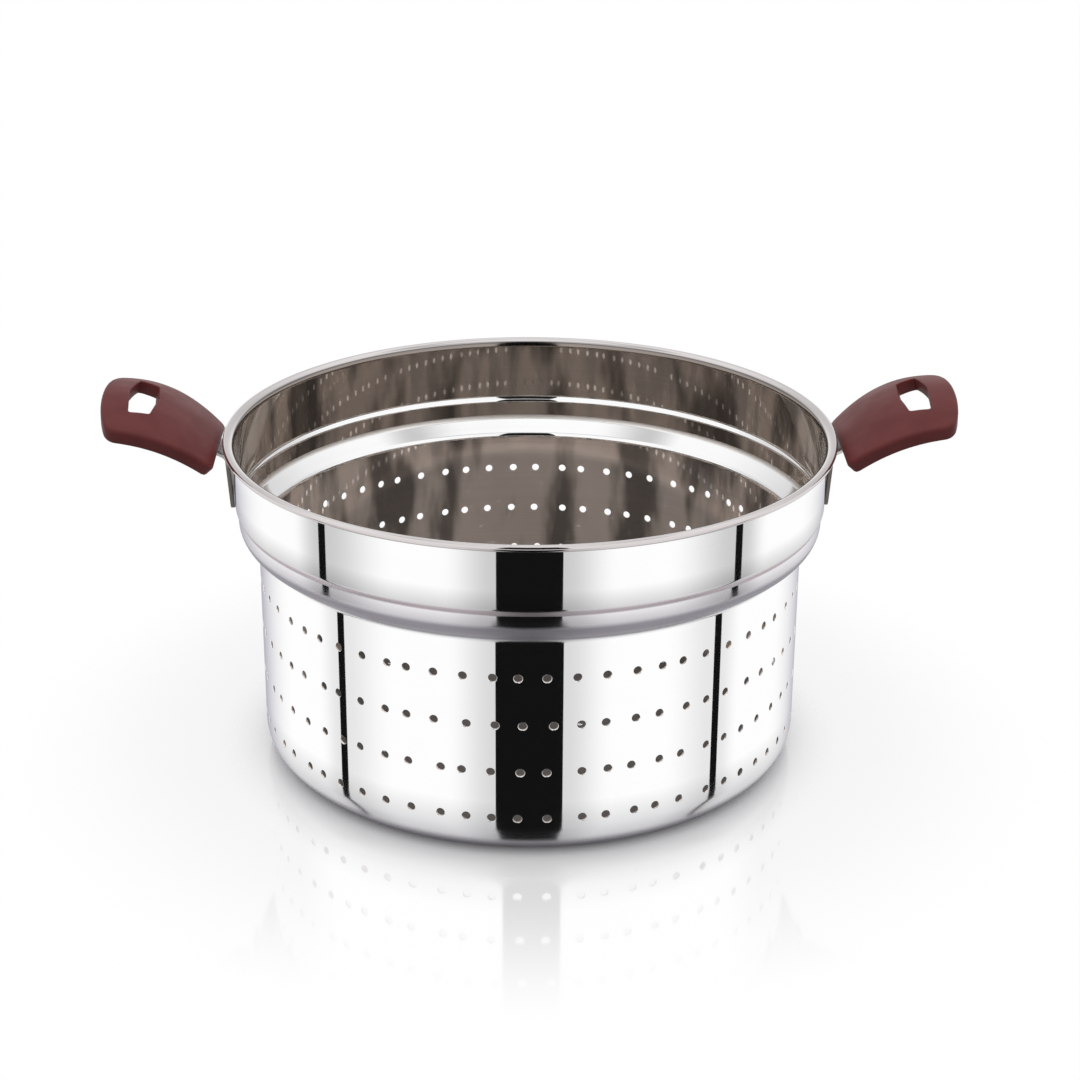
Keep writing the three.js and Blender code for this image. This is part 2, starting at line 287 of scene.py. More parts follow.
@dataclass(frozen=True)
class SheetSteel(Finish):
    """Drawn stainless sheet: polish and colour by height, with painted shade and painted
    reflections in the colour; rings, haze, smudges and soft ripples.
    """

    zones: tuple[Zone, ...]
    hazed: float
    dull: float
    ripple: float
    metallic: float = 1.0
    smudged: float = 0.0
    haze_scale: float = 28.0
    haze_share: float = 0.7
    ring_scale: Colour = (6.0, 6.0, 1400.0)
    wear_range: Range = (0.35, 0.75)
    smudge_scale: Colour = (50.0, 50.0, 15.0)
    smudge_range: Range = (0.44, 0.62)
    smudge_start: Range = (2.0 * MM, 14.0 * MM)
    ripple_scale: float = 55.0

    def sockets(self, graph: NodeGraph) -> dict[str, Any]:
        """A metal whose colour, with its painted shade and reflections, and roughness follow height
        and wear, with ripples in its normal.

        Args:
            graph: The material's nodes.

        Returns:
            Values and signals by the socket's name.
        """
        place = graph.place()
        height = graph.axis(place, "Z")
        haze = graph.noise(place, self.haze_scale, detail=4.0)
        rings = graph.noise(graph.stretch(place, self.ring_scale), 1.0, detail=2.0)
        wear = graph.ramp(haze * self.haze_share + rings * (1 - self.haze_share), *self.wear_range)
        smudges = graph.noise(graph.stretch(place, self.smudge_scale), 1.0, detail=3.0)
        smudges = graph.ramp(smudges, *self.smudge_range) * graph.ramp(height, *self.smudge_start)
        ripples = graph.noise(place, self.ripple_scale, detail=1.0)

        # The zones' colours paint shade and reflections by height; the ramp gives them as its
        # colour and the roughness as its alpha.
        low, high = self.zones[0].height * MM, self.zones[-1].height * MM
        stops = [
            ((zone.height * MM - low) / (high - low), (*zone.tint_and_shade, zone.roughness))
            for zone in self.zones
        ]
        level = (height - low) * (1.0 / (high - low))
        polish = graph.node("ShaderNodeValToRGB", {"stops": stops}, {"Fac": level})
        roughness = Signal(graph, polish.socket.node.outputs["Alpha"])
        clean = (1 - wear * self.hazed) * (1 - smudges * self.smudged)
        return {
            "Base Color": graph.shade(polish, clean),
            "Metallic": self.metallic,
            "Roughness": wear * self.dull + roughness,
            "Normal": graph.bump(ripples, self.ripple, 1.0),
        }


@dataclass(frozen=True)
class StrapSteel(Finish):
    """Bent strap: brushed along its length, darker in the scratches, with painted shade on the pad.
    """

    bright: Colour
    scratched: Colour
    # Painted shade: the colour that the pad takes below the range of heights.
    pad_shade: Colour
    pad_shade_range: Range = (119.0 * MM, 125.0 * MM)
    line_scale: Colour = (60.0, 2600.0, 60.0)
    line_depth: float = 0.02 * MM
    wear_range: Range = (0.35, 0.7)
    roughness: float = 0.22
    dull: float = 0.14

    def sockets(self, graph: NodeGraph) -> dict[str, Any]:
        """A metal with fine lines along X and Z, with painted shade below a range of heights, on
        the pad.

        Args:
            graph: The material's nodes.

        Returns:
            Values and signals by the socket's name.
        """
        place = graph.place()
        lines = graph.noise(graph.stretch(place, self.line_scale), 1.0, detail=3.0)
        wear = graph.ramp(lines, *self.wear_range)
        # Painted shade: the strap is darker below this range of heights, on the pad.
        clean = graph.ramp(graph.axis(place, "Z"), *self.pad_shade_range)
        worn = graph.mix(wear, self.bright, self.scratched)
        return {
            "Base Color": graph.mix(clean, self.pad_shade, worn),
            "Metallic": 1.0,
            "Roughness": wear * self.dull + self.roughness,
            "Normal": graph.bump(lines, self.line_depth, 0.5),
        }


@dataclass(frozen=True)
class GripPlastic(Finish):
    """Moulded heat-proof plastic: fine spark-eroded grain and slight clouds in the colour."""

    base: Colour
    cloud: Colour
    cloud_scale: float = 70.0
    cloud_range: Range = (0.3, 0.7)
    cloud_dull: float = 0.08
    grain_scale: float = 2400.0
    grain_dull: float = 0.06
    grain_depth: float = 0.03 * MM
    roughness: float = 0.4
    specular: float = 0.18

    def sockets(self, graph: NodeGraph) -> dict[str, Any]:
        """A satin plastic with grain in its normal and clouds in colour and roughness.

        Args:
            graph: The material's nodes.

        Returns:
            Values and signals by the socket's name.
        """
        place = graph.place()
        grain = graph.noise(place, self.grain_scale, detail=2.0)
        clouds = graph.ramp(graph.noise(place, self.cloud_scale, detail=4.0), *self.cloud_range)
        return {
            "Base Color": graph.mix(clouds, self.base, self.cloud),
            "Roughness": clouds * self.cloud_dull + grain * self.grain_dull + self.roughness,
            "Specular IOR Level": self.specular,
            "Normal": graph.bump(grain, self.grain_depth, 0.35),
        }


@dataclass(frozen=True)
class FastenerSteel(Finish):
    """Plated screw steel with a mottled passivation."""

    bright: Colour
    mottled: Colour
    mottle_scale: float = 900.0
    mottle_range: Range = (0.35, 0.7)
    mottle_depth: float = 0.02 * MM
    roughness: float = 0.25
    dull: float = 0.15

    def sockets(self, graph: NodeGraph) -> dict[str, Any]:
        """A metal with mottled tint and roughness.

        Args:
            graph: The material's nodes.

        Returns:
            Values and signals by the socket's name.
        """
        spots = graph.noise(graph.place(), self.mottle_scale, detail=4.0)
        mottle = graph.ramp(spots, *self.mottle_range)
        return {
            "Base Color": graph.mix(mottle, self.bright, self.mottled),
            "Metallic": 1.0,
            "Roughness": mottle * self.dull + self.roughness,
            "Normal": graph.bump(mottle, self.mottle_depth, 0.4),
        }


# Outside: painted shade and painted reflections in the colours, by height: dark towards the foot
# for the floor's shadow seen in the base bend, a dark band under the shoulder, grey up the collar's
# foot, a dark line at the step and grey fading to white up the collar.
OUTSIDE_STEEL = SheetSteel("mirror_outside", (
    Zone(0.0, (0.20, 0.19, 0.22), 0.5),
    Zone(4.0, (0.28, 0.27, 0.30), 0.5),
    Zone(8.0, (0.58, 0.57, 0.59), 0.32),
    Zone(13.0, (0.75, 0.75, 0.76), 0.08),
    Zone(24.0, (0.99, 0.99, 0.99), 0.02),
    Zone(89.6, (0.99, 0.99, 0.99), 0.02),
    Zone(91.2, (0.30, 0.285, 0.315), 0.55),
    Zone(98.0, (0.32, 0.30, 0.335), 0.5),
    Zone(99.7, (0.60, 0.58, 0.61), 0.1),
    Zone(103.4, (0.80, 0.785, 0.80), 0.04),
    Zone(103.8, (0.46, 0.405, 0.43), 0.4),
    Zone(105.4, (0.46, 0.405, 0.43), 0.4),
    Zone(106.2, (0.68, 0.67, 0.67), 0.04),
    Zone(114.0, (0.99, 0.99, 0.99), 0.02),
    Zone(133.0, (0.99, 0.99, 0.99), 0.02),
), 0.015, 0.01, 0.003 * MM)
# Inside: painted shade in the colours: near black on the base, for the dark seen through the holes,
# and darker again from 88 mm up the collar.
INSIDE_STEEL = SheetSteel("drawn_inside", (
    Zone(0.0, (0.12, 0.11, 0.105), 0.45),
    Zone(2.0, (0.12, 0.11, 0.105), 0.45),
    Zone(12.0, (0.99, 0.87, 0.79), 0.03),
    Zone(88.0, (0.99, 0.87, 0.79), 0.03),
    Zone(98.0, (0.54, 0.46, 0.40), 0.02),
    Zone(133.0, (0.54, 0.46, 0.40), 0.02),
), 0.15, 0.02, 0.003 * MM, metallic=0.5, smudged=0.72)
LEDGE_STEEL = SheetSteel("burnished_ledge", (
    Zone(90.0, (0.98, 0.98, 0.98), 0.03),
    Zone(95.8, (0.98, 0.98, 0.98), 0.03),
    Zone(96.4, (0.80, 0.76, 0.73), 0.5),
    Zone(98.6, (0.80, 0.76, 0.73), 0.5),
    Zone(102.0, (0.98, 0.98, 0.98), 0.03),
    Zone(133.0, (0.98, 0.98, 0.98), 0.03),
), 0.05, 0.03, 0.004 * MM)
# Rim: painted shadow, near black, on the bead's underside up to 130.3 mm, and a painted pinkish
# reflection over its top.
RIM_STEEL = SheetSteel("rolled_rim", (
    Zone(129.0, (0.10, 0.09, 0.09), 0.3),
    Zone(130.3, (0.10, 0.09, 0.09), 0.3),
    Zone(131.0, (0.66, 0.61, 0.61), 0.08),
    Zone(133.0, (0.78, 0.74, 0.74), 0.05),
), 0.05, 0.03, 0.002 * MM)
# Lip: painted shade down its inner side, darkest in a thin line at 131.3 mm, under a painted light
# band along its top.
LIP_STEEL = SheetSteel("rounded_lip", (
    Zone(129.0, (0.42, 0.36, 0.32), 0.05),
    Zone(131.0, (0.30, 0.26, 0.24), 0.1),
    Zone(131.3, (0.12, 0.11, 0.11), 0.2),
    Zone(131.8, (0.74, 0.70, 0.70), 0.06),
    Zone(133.0, (0.80, 0.76, 0.76), 0.05),
), 0.05, 0.03, 0.002 * MM)
# The last of the strap's colours is painted shade on the pad.
STRAP_STEEL = StrapSteel(
    "brushed_strap", (0.55, 0.53, 0.52), (0.34, 0.32, 0.31), (0.13, 0.115, 0.105)
)
GRIP_PLASTIC = GripPlastic("maroon_grip", (0.150, 0.029, 0.029), (0.130, 0.024, 0.024))
FASTENER_STEEL = FastenerSteel("plated_fastener", (0.70, 0.69, 0.67), (0.50, 0.48, 0.46))


# Mesh building

def lattice(grid: Array, closed: bool = False) -> Array:
    """Corners of the quads of a grid whose columns close on themselves.

    A quad goes from a point to the next column, on to the next row and back.

    Args:
        grid: Indices or vectors, rows by columns.
        closed: Whether the rows close on themselves as well.

    Returns:
        The four corner values of each quad, in rows.
    """
    beside = np.roll(grid, -1, axis=1)
    above = np.roll(grid, -1, axis=0)
    quads = np.stack([grid, beside, np.roll(beside, -1, axis=0), above], axis=2)
    return quads if closed else quads[:-1]


def ring_strip(first: Array, second: Array, axis: int) -> Array:
    """Corners of the quads between two matching closed rings that run along an axis."""
    ahead = [np.roll(ring, -1, axis=axis) for ring in (first, second)]
    return np.stack([first, ahead[0], ahead[1], second], axis=axis + 1)


def unit(vectors: Array) -> Array:
    """Vectors divided by their lengths."""
    return vectors / np.linalg.norm(vectors, axis=-1, keepdims=True)


def smoothstep(share: Array) -> Array:
    """Three times the square less twice the cube of a share held between 0 and 1."""
    share = np.clip(share, 0.0, 1.0)
    return share * share * (3.0 - 2.0 * share)


class PieceMesh:
    """Points, faces and corner normals of one piece, gathered as whole arrays."""

    def __init__(self) -> None:
        """Start with nothing."""
        self.points: list[Array] = []
        self.faces: list[Array] = []
        self.normals: list[Array | None] = []
        self.finishes: list[Array] = []
        self.count = 0

    def add_points(self, points: Array) -> Array:
        """Keep points.

        Args:
            points: X, Y and Z along the last axis.

        Returns:
            Their indices in the same layout.
        """
        index = np.arange(self.count, self.count + points[..., 0].size).reshape(points.shape[:-1])
        self.points.append(points.reshape(-1, 3))
        self.count += index.size
        return index

    def add_faces(self, faces: Array, normals: Array | None = None, finish: Any = 0) -> None:
        """Keep faces.

        Args:
            faces: Indices, with the corners of a face along the last axis.
            normals: A normal for each of those corners, or none for plain smooth shading.
            finish: The material number of all the faces, or one for each.
        """
        corners = faces.shape[-1]
        count = faces.size // corners
        self.faces.append(faces.reshape(count, corners))
        self.normals.append(None if normals is None else normals.reshape(count * corners, 3))
        self.finishes.append(np.broadcast_to(finish, faces.shape[:-1]).reshape(count))

    def add_tube(self, grid: Array) -> None:
        """Keep the faces of a closed section that is carried along a way, with a cap at each end.

        Args:
            grid: Indices, sections by points of a section.
        """
        self.add_faces(lattice(grid))
        self.add_faces(grid[:1, ::-1])
        self.add_faces(grid[-1:])

    def make(self, name: str, materials: list[bpy.types.Material]) -> bpy.types.Object:
        """Put the arrays into a mesh object at the origin.

        Args:
            name: Name of the piece.
            materials: The finishes that the faces' numbers stand for.

        Returns:
            The new object, linked to the scene.
        """
        points = np.concatenate(self.points)
        corners = np.concatenate([f.ravel() for f in self.faces])
        used, places = np.unique(corners, return_inverse=True)
        sizes = np.cumsum([f.size for f in self.faces])[:-1]
        blocks = [b.reshape(f.shape) for b, f in zip(np.split(places, sizes), self.faces)]
        mesh = bpy.data.meshes.new(name)
        mesh.from_pydata(
            points[used].tolist(), [], [face for block in blocks for face in block.tolist()]
        )
        mesh.polygons.foreach_set("use_smooth", np.ones(len(mesh.polygons), bool))
        mesh.polygons.foreach_set("material_index", np.concatenate(self.finishes).astype(np.int32))
        for material in materials:
            mesh.materials.append(material)
        if all(n is not None for n in self.normals):
            mesh.normals_split_custom_set(np.concatenate(self.normals).tolist())
        mesh.update()
        piece = bpy.data.objects.new(name, mesh)
        bpy.context.collection.objects.link(piece)
        return piece


class PlanePath:
    """A path of straight runs and tangent arcs, with its heading at each point."""

    def __init__(self, start: tuple[float, float], heading: float) -> None:
        """Start at a point with a heading, counted from the first axis."""
        self.points = np.array([start])
        self.headings = np.array([heading])
        self.spans: dict[str, slice] = {}

    def _add(self, name: str, points: Array, headings: Array) -> None:
        """Keep new points, and the strips between them under a name."""
        first = len(self.points) - 1
        self.points = np.concatenate([self.points, points])
        self.headings = np.concatenate([self.headings, headings])
        self.spans[name] = slice(first, len(self.points) - 1)

    def run(self, name: str, length: float, shares: Any = (1.0,)) -> None:
        """Go straight: each point is the last one plus a share of the length along the heading.

        Args:
            name: Name of the stretch.
            length: Its length.
            shares: Shares of the length at which it has points.
        """
        heading = self.headings[-1]
        step = length * np.array([np.cos(heading), np.sin(heading)])
        shares = np.asarray(shares)
        self._add(name, self.points[-1] + shares[:, None] * step, np.full(len(shares), heading))

    def bend(self, name: str, turn: float, radius: float, steps: int) -> None:
        """Turn on an arc: its centre is square to the heading, on the left for a positive turn.

        Args:
            name: Name of the stretch.
            turn: Angle that the heading turns by.
            radius: Radius of the arc.
            steps: Number of points.
        """
        heading = self.headings[-1]
        reach = np.sign(turn) * radius
        angles = heading + turn * np.linspace(0.0, 1.0, steps + 1)[1:]
        centre = self.points[-1] + reach * np.array([-np.sin(heading), np.cos(heading)])
        arc = centre + reach * np.stack([np.sin(angles), -np.cos(angles)], axis=1)
        self._add(name, arc, angles)

    def right(self) -> Array:
        """Unit vectors square to the path, on its right."""
        return np.stack([np.sin(self.headings), -np.cos(self.headings)], axis=1)


def spin(points: Array, angles: Array) -> Array:
    """Turn points or normals of radius and height about the Z axis.

    Args:
        points: Radius and height along the last axis.
        angles: Bearings that broadcast with the other axes of points.

    Returns:
        The same layout with X, Y and Z along the last axis.
    """
    radius, height = np.broadcast_arrays(points[..., 0], angles)[0], points[..., 1]
    return np.stack(
        [radius * np.cos(angles), radius * np.sin(angles), np.broadcast_to(height, radius.shape)],
        axis=-1,
    )


def circle(bearing: Array) -> Array:
    """Points of the unit circle at bearings, along a new last axis."""
    return np.stack([np.cos(bearing), np.sin(bearing)], axis=-1)


def quadratic(start: Any, control: Any, end: Any, steps: int) -> Array:
    """Curve of three points by the weights (1-t)(1-t), 2t(1-t) and tt.

    Args:
        start: Where it starts.
        control: The point that it bends towards.
        end: Where it ends.
        steps: Number of points.

    Returns:
        Points of the curve without its start.
    """
    start, control, end = np.array(start), np.array(control), np.array(end)
    t = np.linspace(0.0, 1.0, steps + 1)[1:, None]
    return (1 - t) ** 2 * start + 2 * t * (1 - t) * control + t ** 2 * end


def straight(start: Any, end: Any, steps: int) -> Array:
    """Points at even shares of the way between two points, without the start."""
    t = np.linspace(0.0, 1.0, steps + 1)[1:, None]
    return (1 - t) * np.array(start) + t * np.array(end)


# Sub-assemblies

@dataclass
class StrainerBody:
    """Perforated basket, shoulder that sits on the pot, collar and rolled rim, from one sheet."""

    sheet: float = 0.7 * MM
    basket_radius: float = 109.3 * MM
    base_bend: float = 12.0 * MM
    basket_wall: float = 77.7 * MM
    shoulder_width: float = 7.6 * MM
    shoulder_tilt: float = np.radians(55.0)
    shoulder_inner_bend: float = 2.0 * MM
    shoulder_outer_bend: float = 7.0 * MM
    shoulder_hollow: float = 3.2 * MM
    collar_foot: float = 4.4 * MM
    step_width: float = 1.1 * MM
    step_tilt: float = np.radians(40.0)
    step_low_bend: float = 1.2 * MM
    step_high_bend: float = 3.2 * MM
    bead_radius: float = 1.3 * MM
    bead_steps: int = 20
    lip_steps: int = 10
    hole_radius: float = 1.6 * MM
    hole_lip: float = 0.2 * MM
    hole_lip_depth: float = 0.2 * MM
    hole_lip_lean: float = 0.35
    hole_wander: float = 1.5 * MM
    holes_per_row: int = 64
    hole_rows: int = 4
    first_row: float = 17.0 * MM
    last_row: float = 75.2 * MM
    cell_half: float = 4.9 * MM
    base_rings: int = 4
    base_ring_holes: int = 6
    base_edge_margin: float = 12.0 * MM
    sides: int = 12
    wander_seed: int = 11

    def columns(self) -> Array:
        """Bearings of the mesh columns: three to each hole of a row."""
        count = self.holes_per_row * self.sides // 4
        return np.arange(count) * TURN / count

    def collar_radius(self) -> float:
        """Outer radius of the collar above its step."""
        return self.basket_radius + self.shoulder_width + self.step_width

    def row_heights(self) -> Array:
        """Heights of the rows of holes."""
        return np.linspace(self.first_row, self.last_row, self.hole_rows)

    def outer_path(self, shoulder_bend: float) -> PlanePath:
        """Outside of the sheet in radius and height, from the edge of the flat base to the rim.

        Args:
            shoulder_bend: Radius of the bend from the shoulder up into the collar.

        Returns:
            The path, with the strips of each part under its name.
        """
        bead, lip = self.rim_centres()
        lip_bend = bead[0] - self.collar_radius()
        drop = bead[1] - lip[1]
        meeting = (lip_bend ** 2 + drop ** 2 - self.bead_radius ** 2) / (2 * lip_bend * drop)
        knees = np.array([self.step_low_bend, self.step_high_bend]) * np.tan(self.step_tilt / 2)
        bends = self.shoulder_inner_bend + shoulder_bend
        shelf = self.shoulder_width - bends * (1 - np.cos(self.shoulder_tilt))
        spare = (self.shoulder_outer_bend - shoulder_bend) * np.tan(self.shoulder_tilt / 2)

        cell = self.cell_half * np.linspace(-1.0, 1.0, self.sides // 4 + 1)
        levels = self.row_heights()[:, None] + cell
        shares = np.append((levels.ravel() - self.base_bend) / self.basket_wall, 1.0)
        path = PlanePath((self.basket_radius - self.base_bend, 0.0), 0.0)
        path.bend("base_bend", np.pi / 2, self.base_bend, steps=14)
        path.run("wall", self.basket_wall, shares)
        path.bend("shoulder_inner", -self.shoulder_tilt, self.shoulder_inner_bend, steps=7)
        path.run("shelf", shelf / np.sin(self.shoulder_tilt), (0.5, 1.0))
        path.bend("shoulder_outer", self.shoulder_tilt, shoulder_bend, steps=10)
        path.run("collar_foot", self.collar_foot - knees[0] + spare)
        path.bend("step_low", -self.step_tilt, self.step_low_bend, steps=5)
        path.run("step", self.step_width / np.sin(self.step_tilt) - knees.sum())
        path.bend("step_high", self.step_tilt, self.step_high_bend, steps=8)
        path.run("collar", lip[1] - path.points[-1, 1], (0.25, 0.5, 0.75, 1.0))
        path.bend("lip", -np.arcsin(meeting), lip_bend, steps=8)
        return path

    def rim_centres(self) -> tuple[Array, Array]:
        """Centres of the rolled bead and of the lip that rounds over into it, in radius and height.

        The lip's inside is a quarter circle from the collar's wall up to the top of the bead.

        Returns:
            The bead's centre and the lip's centre below it.
        """
        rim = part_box("strainer_body")[1]
        bead = np.array([rim.y, rim.z]) - self.bead_radius
        lip_radius = bead[0] - self.collar_radius() + self.sheet
        return bead, np.array([bead[0], rim.z - lip_radius])

    def build(self) -> bpy.types.Object:
        """Make the body: outer skin, bead and inner skin about the axis, with holes through both.

        Returns:
            The finished piece.
        """
        mesh = PieceMesh()
        path, angles = self.outer_path(self.shoulder_outer_bend), self.columns()
        outer = mesh.add_points(spin(path.points[:, None], angles))
        out_normals = spin(path.right()[:, None], angles)
        lined = path.spans["collar"].stop + 1
        lining = self.outer_path(self.shoulder_hollow)
        into = -lining.right()[:lined]
        inner = mesh.add_points(spin((lining.points[:lined] + self.sheet * into)[:, None], angles))
        in_normals = spin(into[:, None], angles)

        plain = np.ones(len(path.points) - 1, bool)
        per_row = self.sides // 4
        wall = path.spans["wall"].start + 1
        rows = wall + np.arange(self.hole_rows) * (per_row + 1)
        plain[(rows[:, None] + np.arange(per_row)).ravel()] = False
        kept = plain[:lined - 1]
        inside = np.full(len(kept), SheetFace.INSIDE.value)
        for name in ("shoulder_inner", "shelf", "shoulder_outer", "step_low", "step", "step_high"):
            inside[path.spans[name]] = SheetFace.LEDGE.value

        mesh.add_faces(lattice(outer)[plain], lattice(out_normals)[plain])
        back = lattice(inner[::-1])[kept[::-1]]
        back_normals = lattice(in_normals[::-1])[kept[::-1]]
        mesh.add_faces(back, back_normals, inside[kept][::-1, None])
        self.add_rim(mesh, path, outer[-1], inner[-1])
        self.add_wall_holes(mesh, outer, inner, rows)
        self.add_base(mesh, outer[0], inner[0])

        finishes = [OUTSIDE_STEEL, INSIDE_STEEL, LEDGE_STEEL, RIM_STEEL, LIP_STEEL]
        piece = mesh.make("strainer_sheet", [finish.make() for finish in finishes])
        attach(piece, ROOT)
        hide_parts("strainer_body")
        return piece

    def add_rim(self, mesh: PieceMesh, path: PlanePath, outer: Array, inner: Array) -> None:
        """Close the rim: a circle round the bead to its top, then a quarter circle down the lip.

        Args:
            mesh: The mesh that takes the faces.
            path: The outside of the sheet.
            outer: Indices of the last outer ring.
            inner: Indices of the last inner ring.
        """
        bead, lip = self.rim_centres()
        start = path.points[-1] - bead
        meeting = np.arctan2(start[1], start[0]) % TURN
        around = np.linspace(meeting, 1.25 * TURN, self.bead_steps + 1)
        over = np.linspace(np.pi / 2, np.pi, self.lip_steps + 1)[1:]
        normals = circle(np.concatenate([around, over]))
        rolled = bead + self.bead_radius * normals[1:len(around)]
        rounded = lip + (bead[1] + self.bead_radius - lip[1]) * normals[len(around):-1]
        rings = mesh.add_points(spin(np.concatenate([rolled, rounded])[:, None], self.columns()))
        grid = np.concatenate([outer[None], rings, inner[None]])
        faces = [SheetFace.RIM.value, SheetFace.LIP.value]
        finish = np.repeat(faces, [self.bead_steps, self.lip_steps])[:, None]
        mesh.add_faces(lattice(grid), lattice(spin(normals[:, None], self.columns())), finish)

    def add_wall_holes(self, mesh: PieceMesh, outer: Array, inner: Array, rows: Array) -> None:
        """Fill each cell of the wall with a ring of faces round a punched hole.

        A hole's points are its centre plus its radius at even bearings, laid on the cylinder; the
        rim of a hole rolls in from the outer skin over a small lip.

        Args:
            mesh: The mesh that takes the faces.
            outer: Indices of the outer skin, stations by columns.
            inner: Indices of the inner skin in the same order.
            rows: The lowest station of each row of cells.
        """
        per_side = self.sides // 4
        along = np.arange(per_side)
        low, high = np.zeros(per_side, int), np.full(per_side, per_side)
        cell_row = np.concatenate([low, along, high, per_side - along])
        cell_column = np.concatenate([along, high, per_side - along, low])
        cells = np.arange(self.holes_per_row) * per_side
        columns = (cells[:, None] + cell_column) % outer.shape[1]
        stations = rows[:, None, None] + cell_row

        random = np.random.default_rng(self.wander_seed)
        wander = random.uniform(-1.0, 1.0, (self.hole_rows, self.holes_per_row))
        middle = (np.arange(self.holes_per_row) + 0.5) * TURN / self.holes_per_row
        middle = (middle + wander * self.hole_wander / self.basket_radius)[..., None]
        height = self.row_heights()[:, None, None]
        bearing = 1.25 * np.pi + np.arange(self.sides) * TURN / self.sides

        def ring(radius: float, depth: float) -> tuple[Array, Array, Array]:
            """Points round each hole.

            Args:
                radius: Distance from the hole's axis.
                depth: Depth under the outer skin.

            Returns:
                The points, the skin's normals there and the directions to the hole's axis.
            """
            angle = middle + radius * np.cos(bearing) / self.basket_radius
            level = np.broadcast_to(height + radius * np.sin(bearing), angle.shape)
            distance = np.full(angle.shape, self.basket_radius - depth)
            points = spin(np.stack([distance, level], axis=-1), angle)
            tangent = spin(OUTWARD, angle + np.pi / 2)
            lift = np.sin(bearing)[:, None] * np.array([0.0, 0.0, 1.0])
            return points, spin(OUTWARD, angle), -(np.cos(bearing)[:, None] * tangent + lift)

        edge, edge_skin, edge_axis = ring(self.hole_radius + self.hole_lip, 0.0)
        throat, throat_skin, throat_axis = ring(self.hole_radius, self.hole_lip_depth)
        exit_, exit_skin, exit_axis = ring(self.hole_radius, self.sheet)
        edge_id, throat_id, exit_id = (mesh.add_points(p) for p in (edge, throat, exit_))
        cell_skin = np.broadcast_to(spin(OUTWARD, self.columns()[columns]), edge_skin.shape)
        lean, inside = self.hole_lip_lean, SheetFace.INSIDE.value

        mesh.add_faces(
            ring_strip(outer[stations, columns], edge_id, 2), ring_strip(cell_skin, edge_skin, 2)
        )
        mesh.add_faces(
            ring_strip(edge_id, throat_id, 2),
            ring_strip(
                unit(edge_skin + lean * edge_axis), unit(throat_axis + lean * throat_skin), 2
            ),
        )
        mesh.add_faces(
            ring_strip(throat_id, exit_id, 2), ring_strip(throat_axis, exit_axis, 2), inside
        )
        mesh.add_faces(
            ring_strip(exit_id, inner[stations, columns], 2),
            ring_strip(-exit_skin, -cell_skin, 2),
            inside,
        )

    def add_base(self, mesh: PieceMesh, outer: Array, inner: Array) -> None:
        """Close the base: a flat disc with rings of holes, the same above and below.

        The disc is cut into triangles between its edge and the holes' edges. Those with all three
        corners on one hole fill it, and are left out.

        Args:
            mesh: The mesh that takes the faces.
            outer: Indices of the ring round the underside.
            inner: Indices of the ring round the inside.
        """
        flat = self.basket_radius - self.base_bend
        pitch = (flat - self.base_edge_margin) / self.base_rings
        counts = np.arange(1, self.base_rings + 1) * self.base_ring_holes
        radii = np.repeat(np.arange(1, self.base_rings + 1) * pitch, counts)
        turns = np.concatenate([np.arange(n) / n for n in counts]) * TURN
        around = circle(np.arange(self.sides) * TURN / self.sides)
        holes = radii[:, None, None] * circle(turns)[:, None] + self.hole_radius * around
        low = mesh.add_points(np.dstack([holes, np.zeros(holes.shape[:2])]))
        high = mesh.add_points(np.dstack([holes, np.full(holes.shape[:2], self.sheet)]))

        edge = flat * circle(self.columns())
        loops = [np.arange(len(edge))] + list(len(edge) + np.arange(low.size).reshape(low.shape))
        lines = np.concatenate([np.stack([loop, np.roll(loop, -1)], axis=1) for loop in loops])
        plan = np.concatenate([edge, holes.reshape(-1, 2)])
        made = delaunay_2d_cdt([tuple(p) for p in plan], lines.tolist(), [], 2, 1e-9)
        triangles = np.array(made[2])
        hole = (triangles - len(edge)) // self.sides
        triangles = triangles[(hole.min(axis=1) < 0) | (np.ptp(hole, axis=1) > 0)]
        under = np.concatenate([outer, low.ravel()])[triangles[:, ::-1]]
        over = np.concatenate([inner, high.ravel()])[triangles]
        down = np.broadcast_to([0.0, 0.0, -1.0], (*under.shape, 3))
        level = np.column_stack([around, np.zeros(self.sides)])
        walls = np.broadcast_to(-level, (*low.shape, 3))
        mesh.add_faces(ring_strip(high, low, 1), ring_strip(walls, walls, 1))
        mesh.add_faces(under, down)
        mesh.add_faces(over, -down, SheetFace.INSIDE.value)


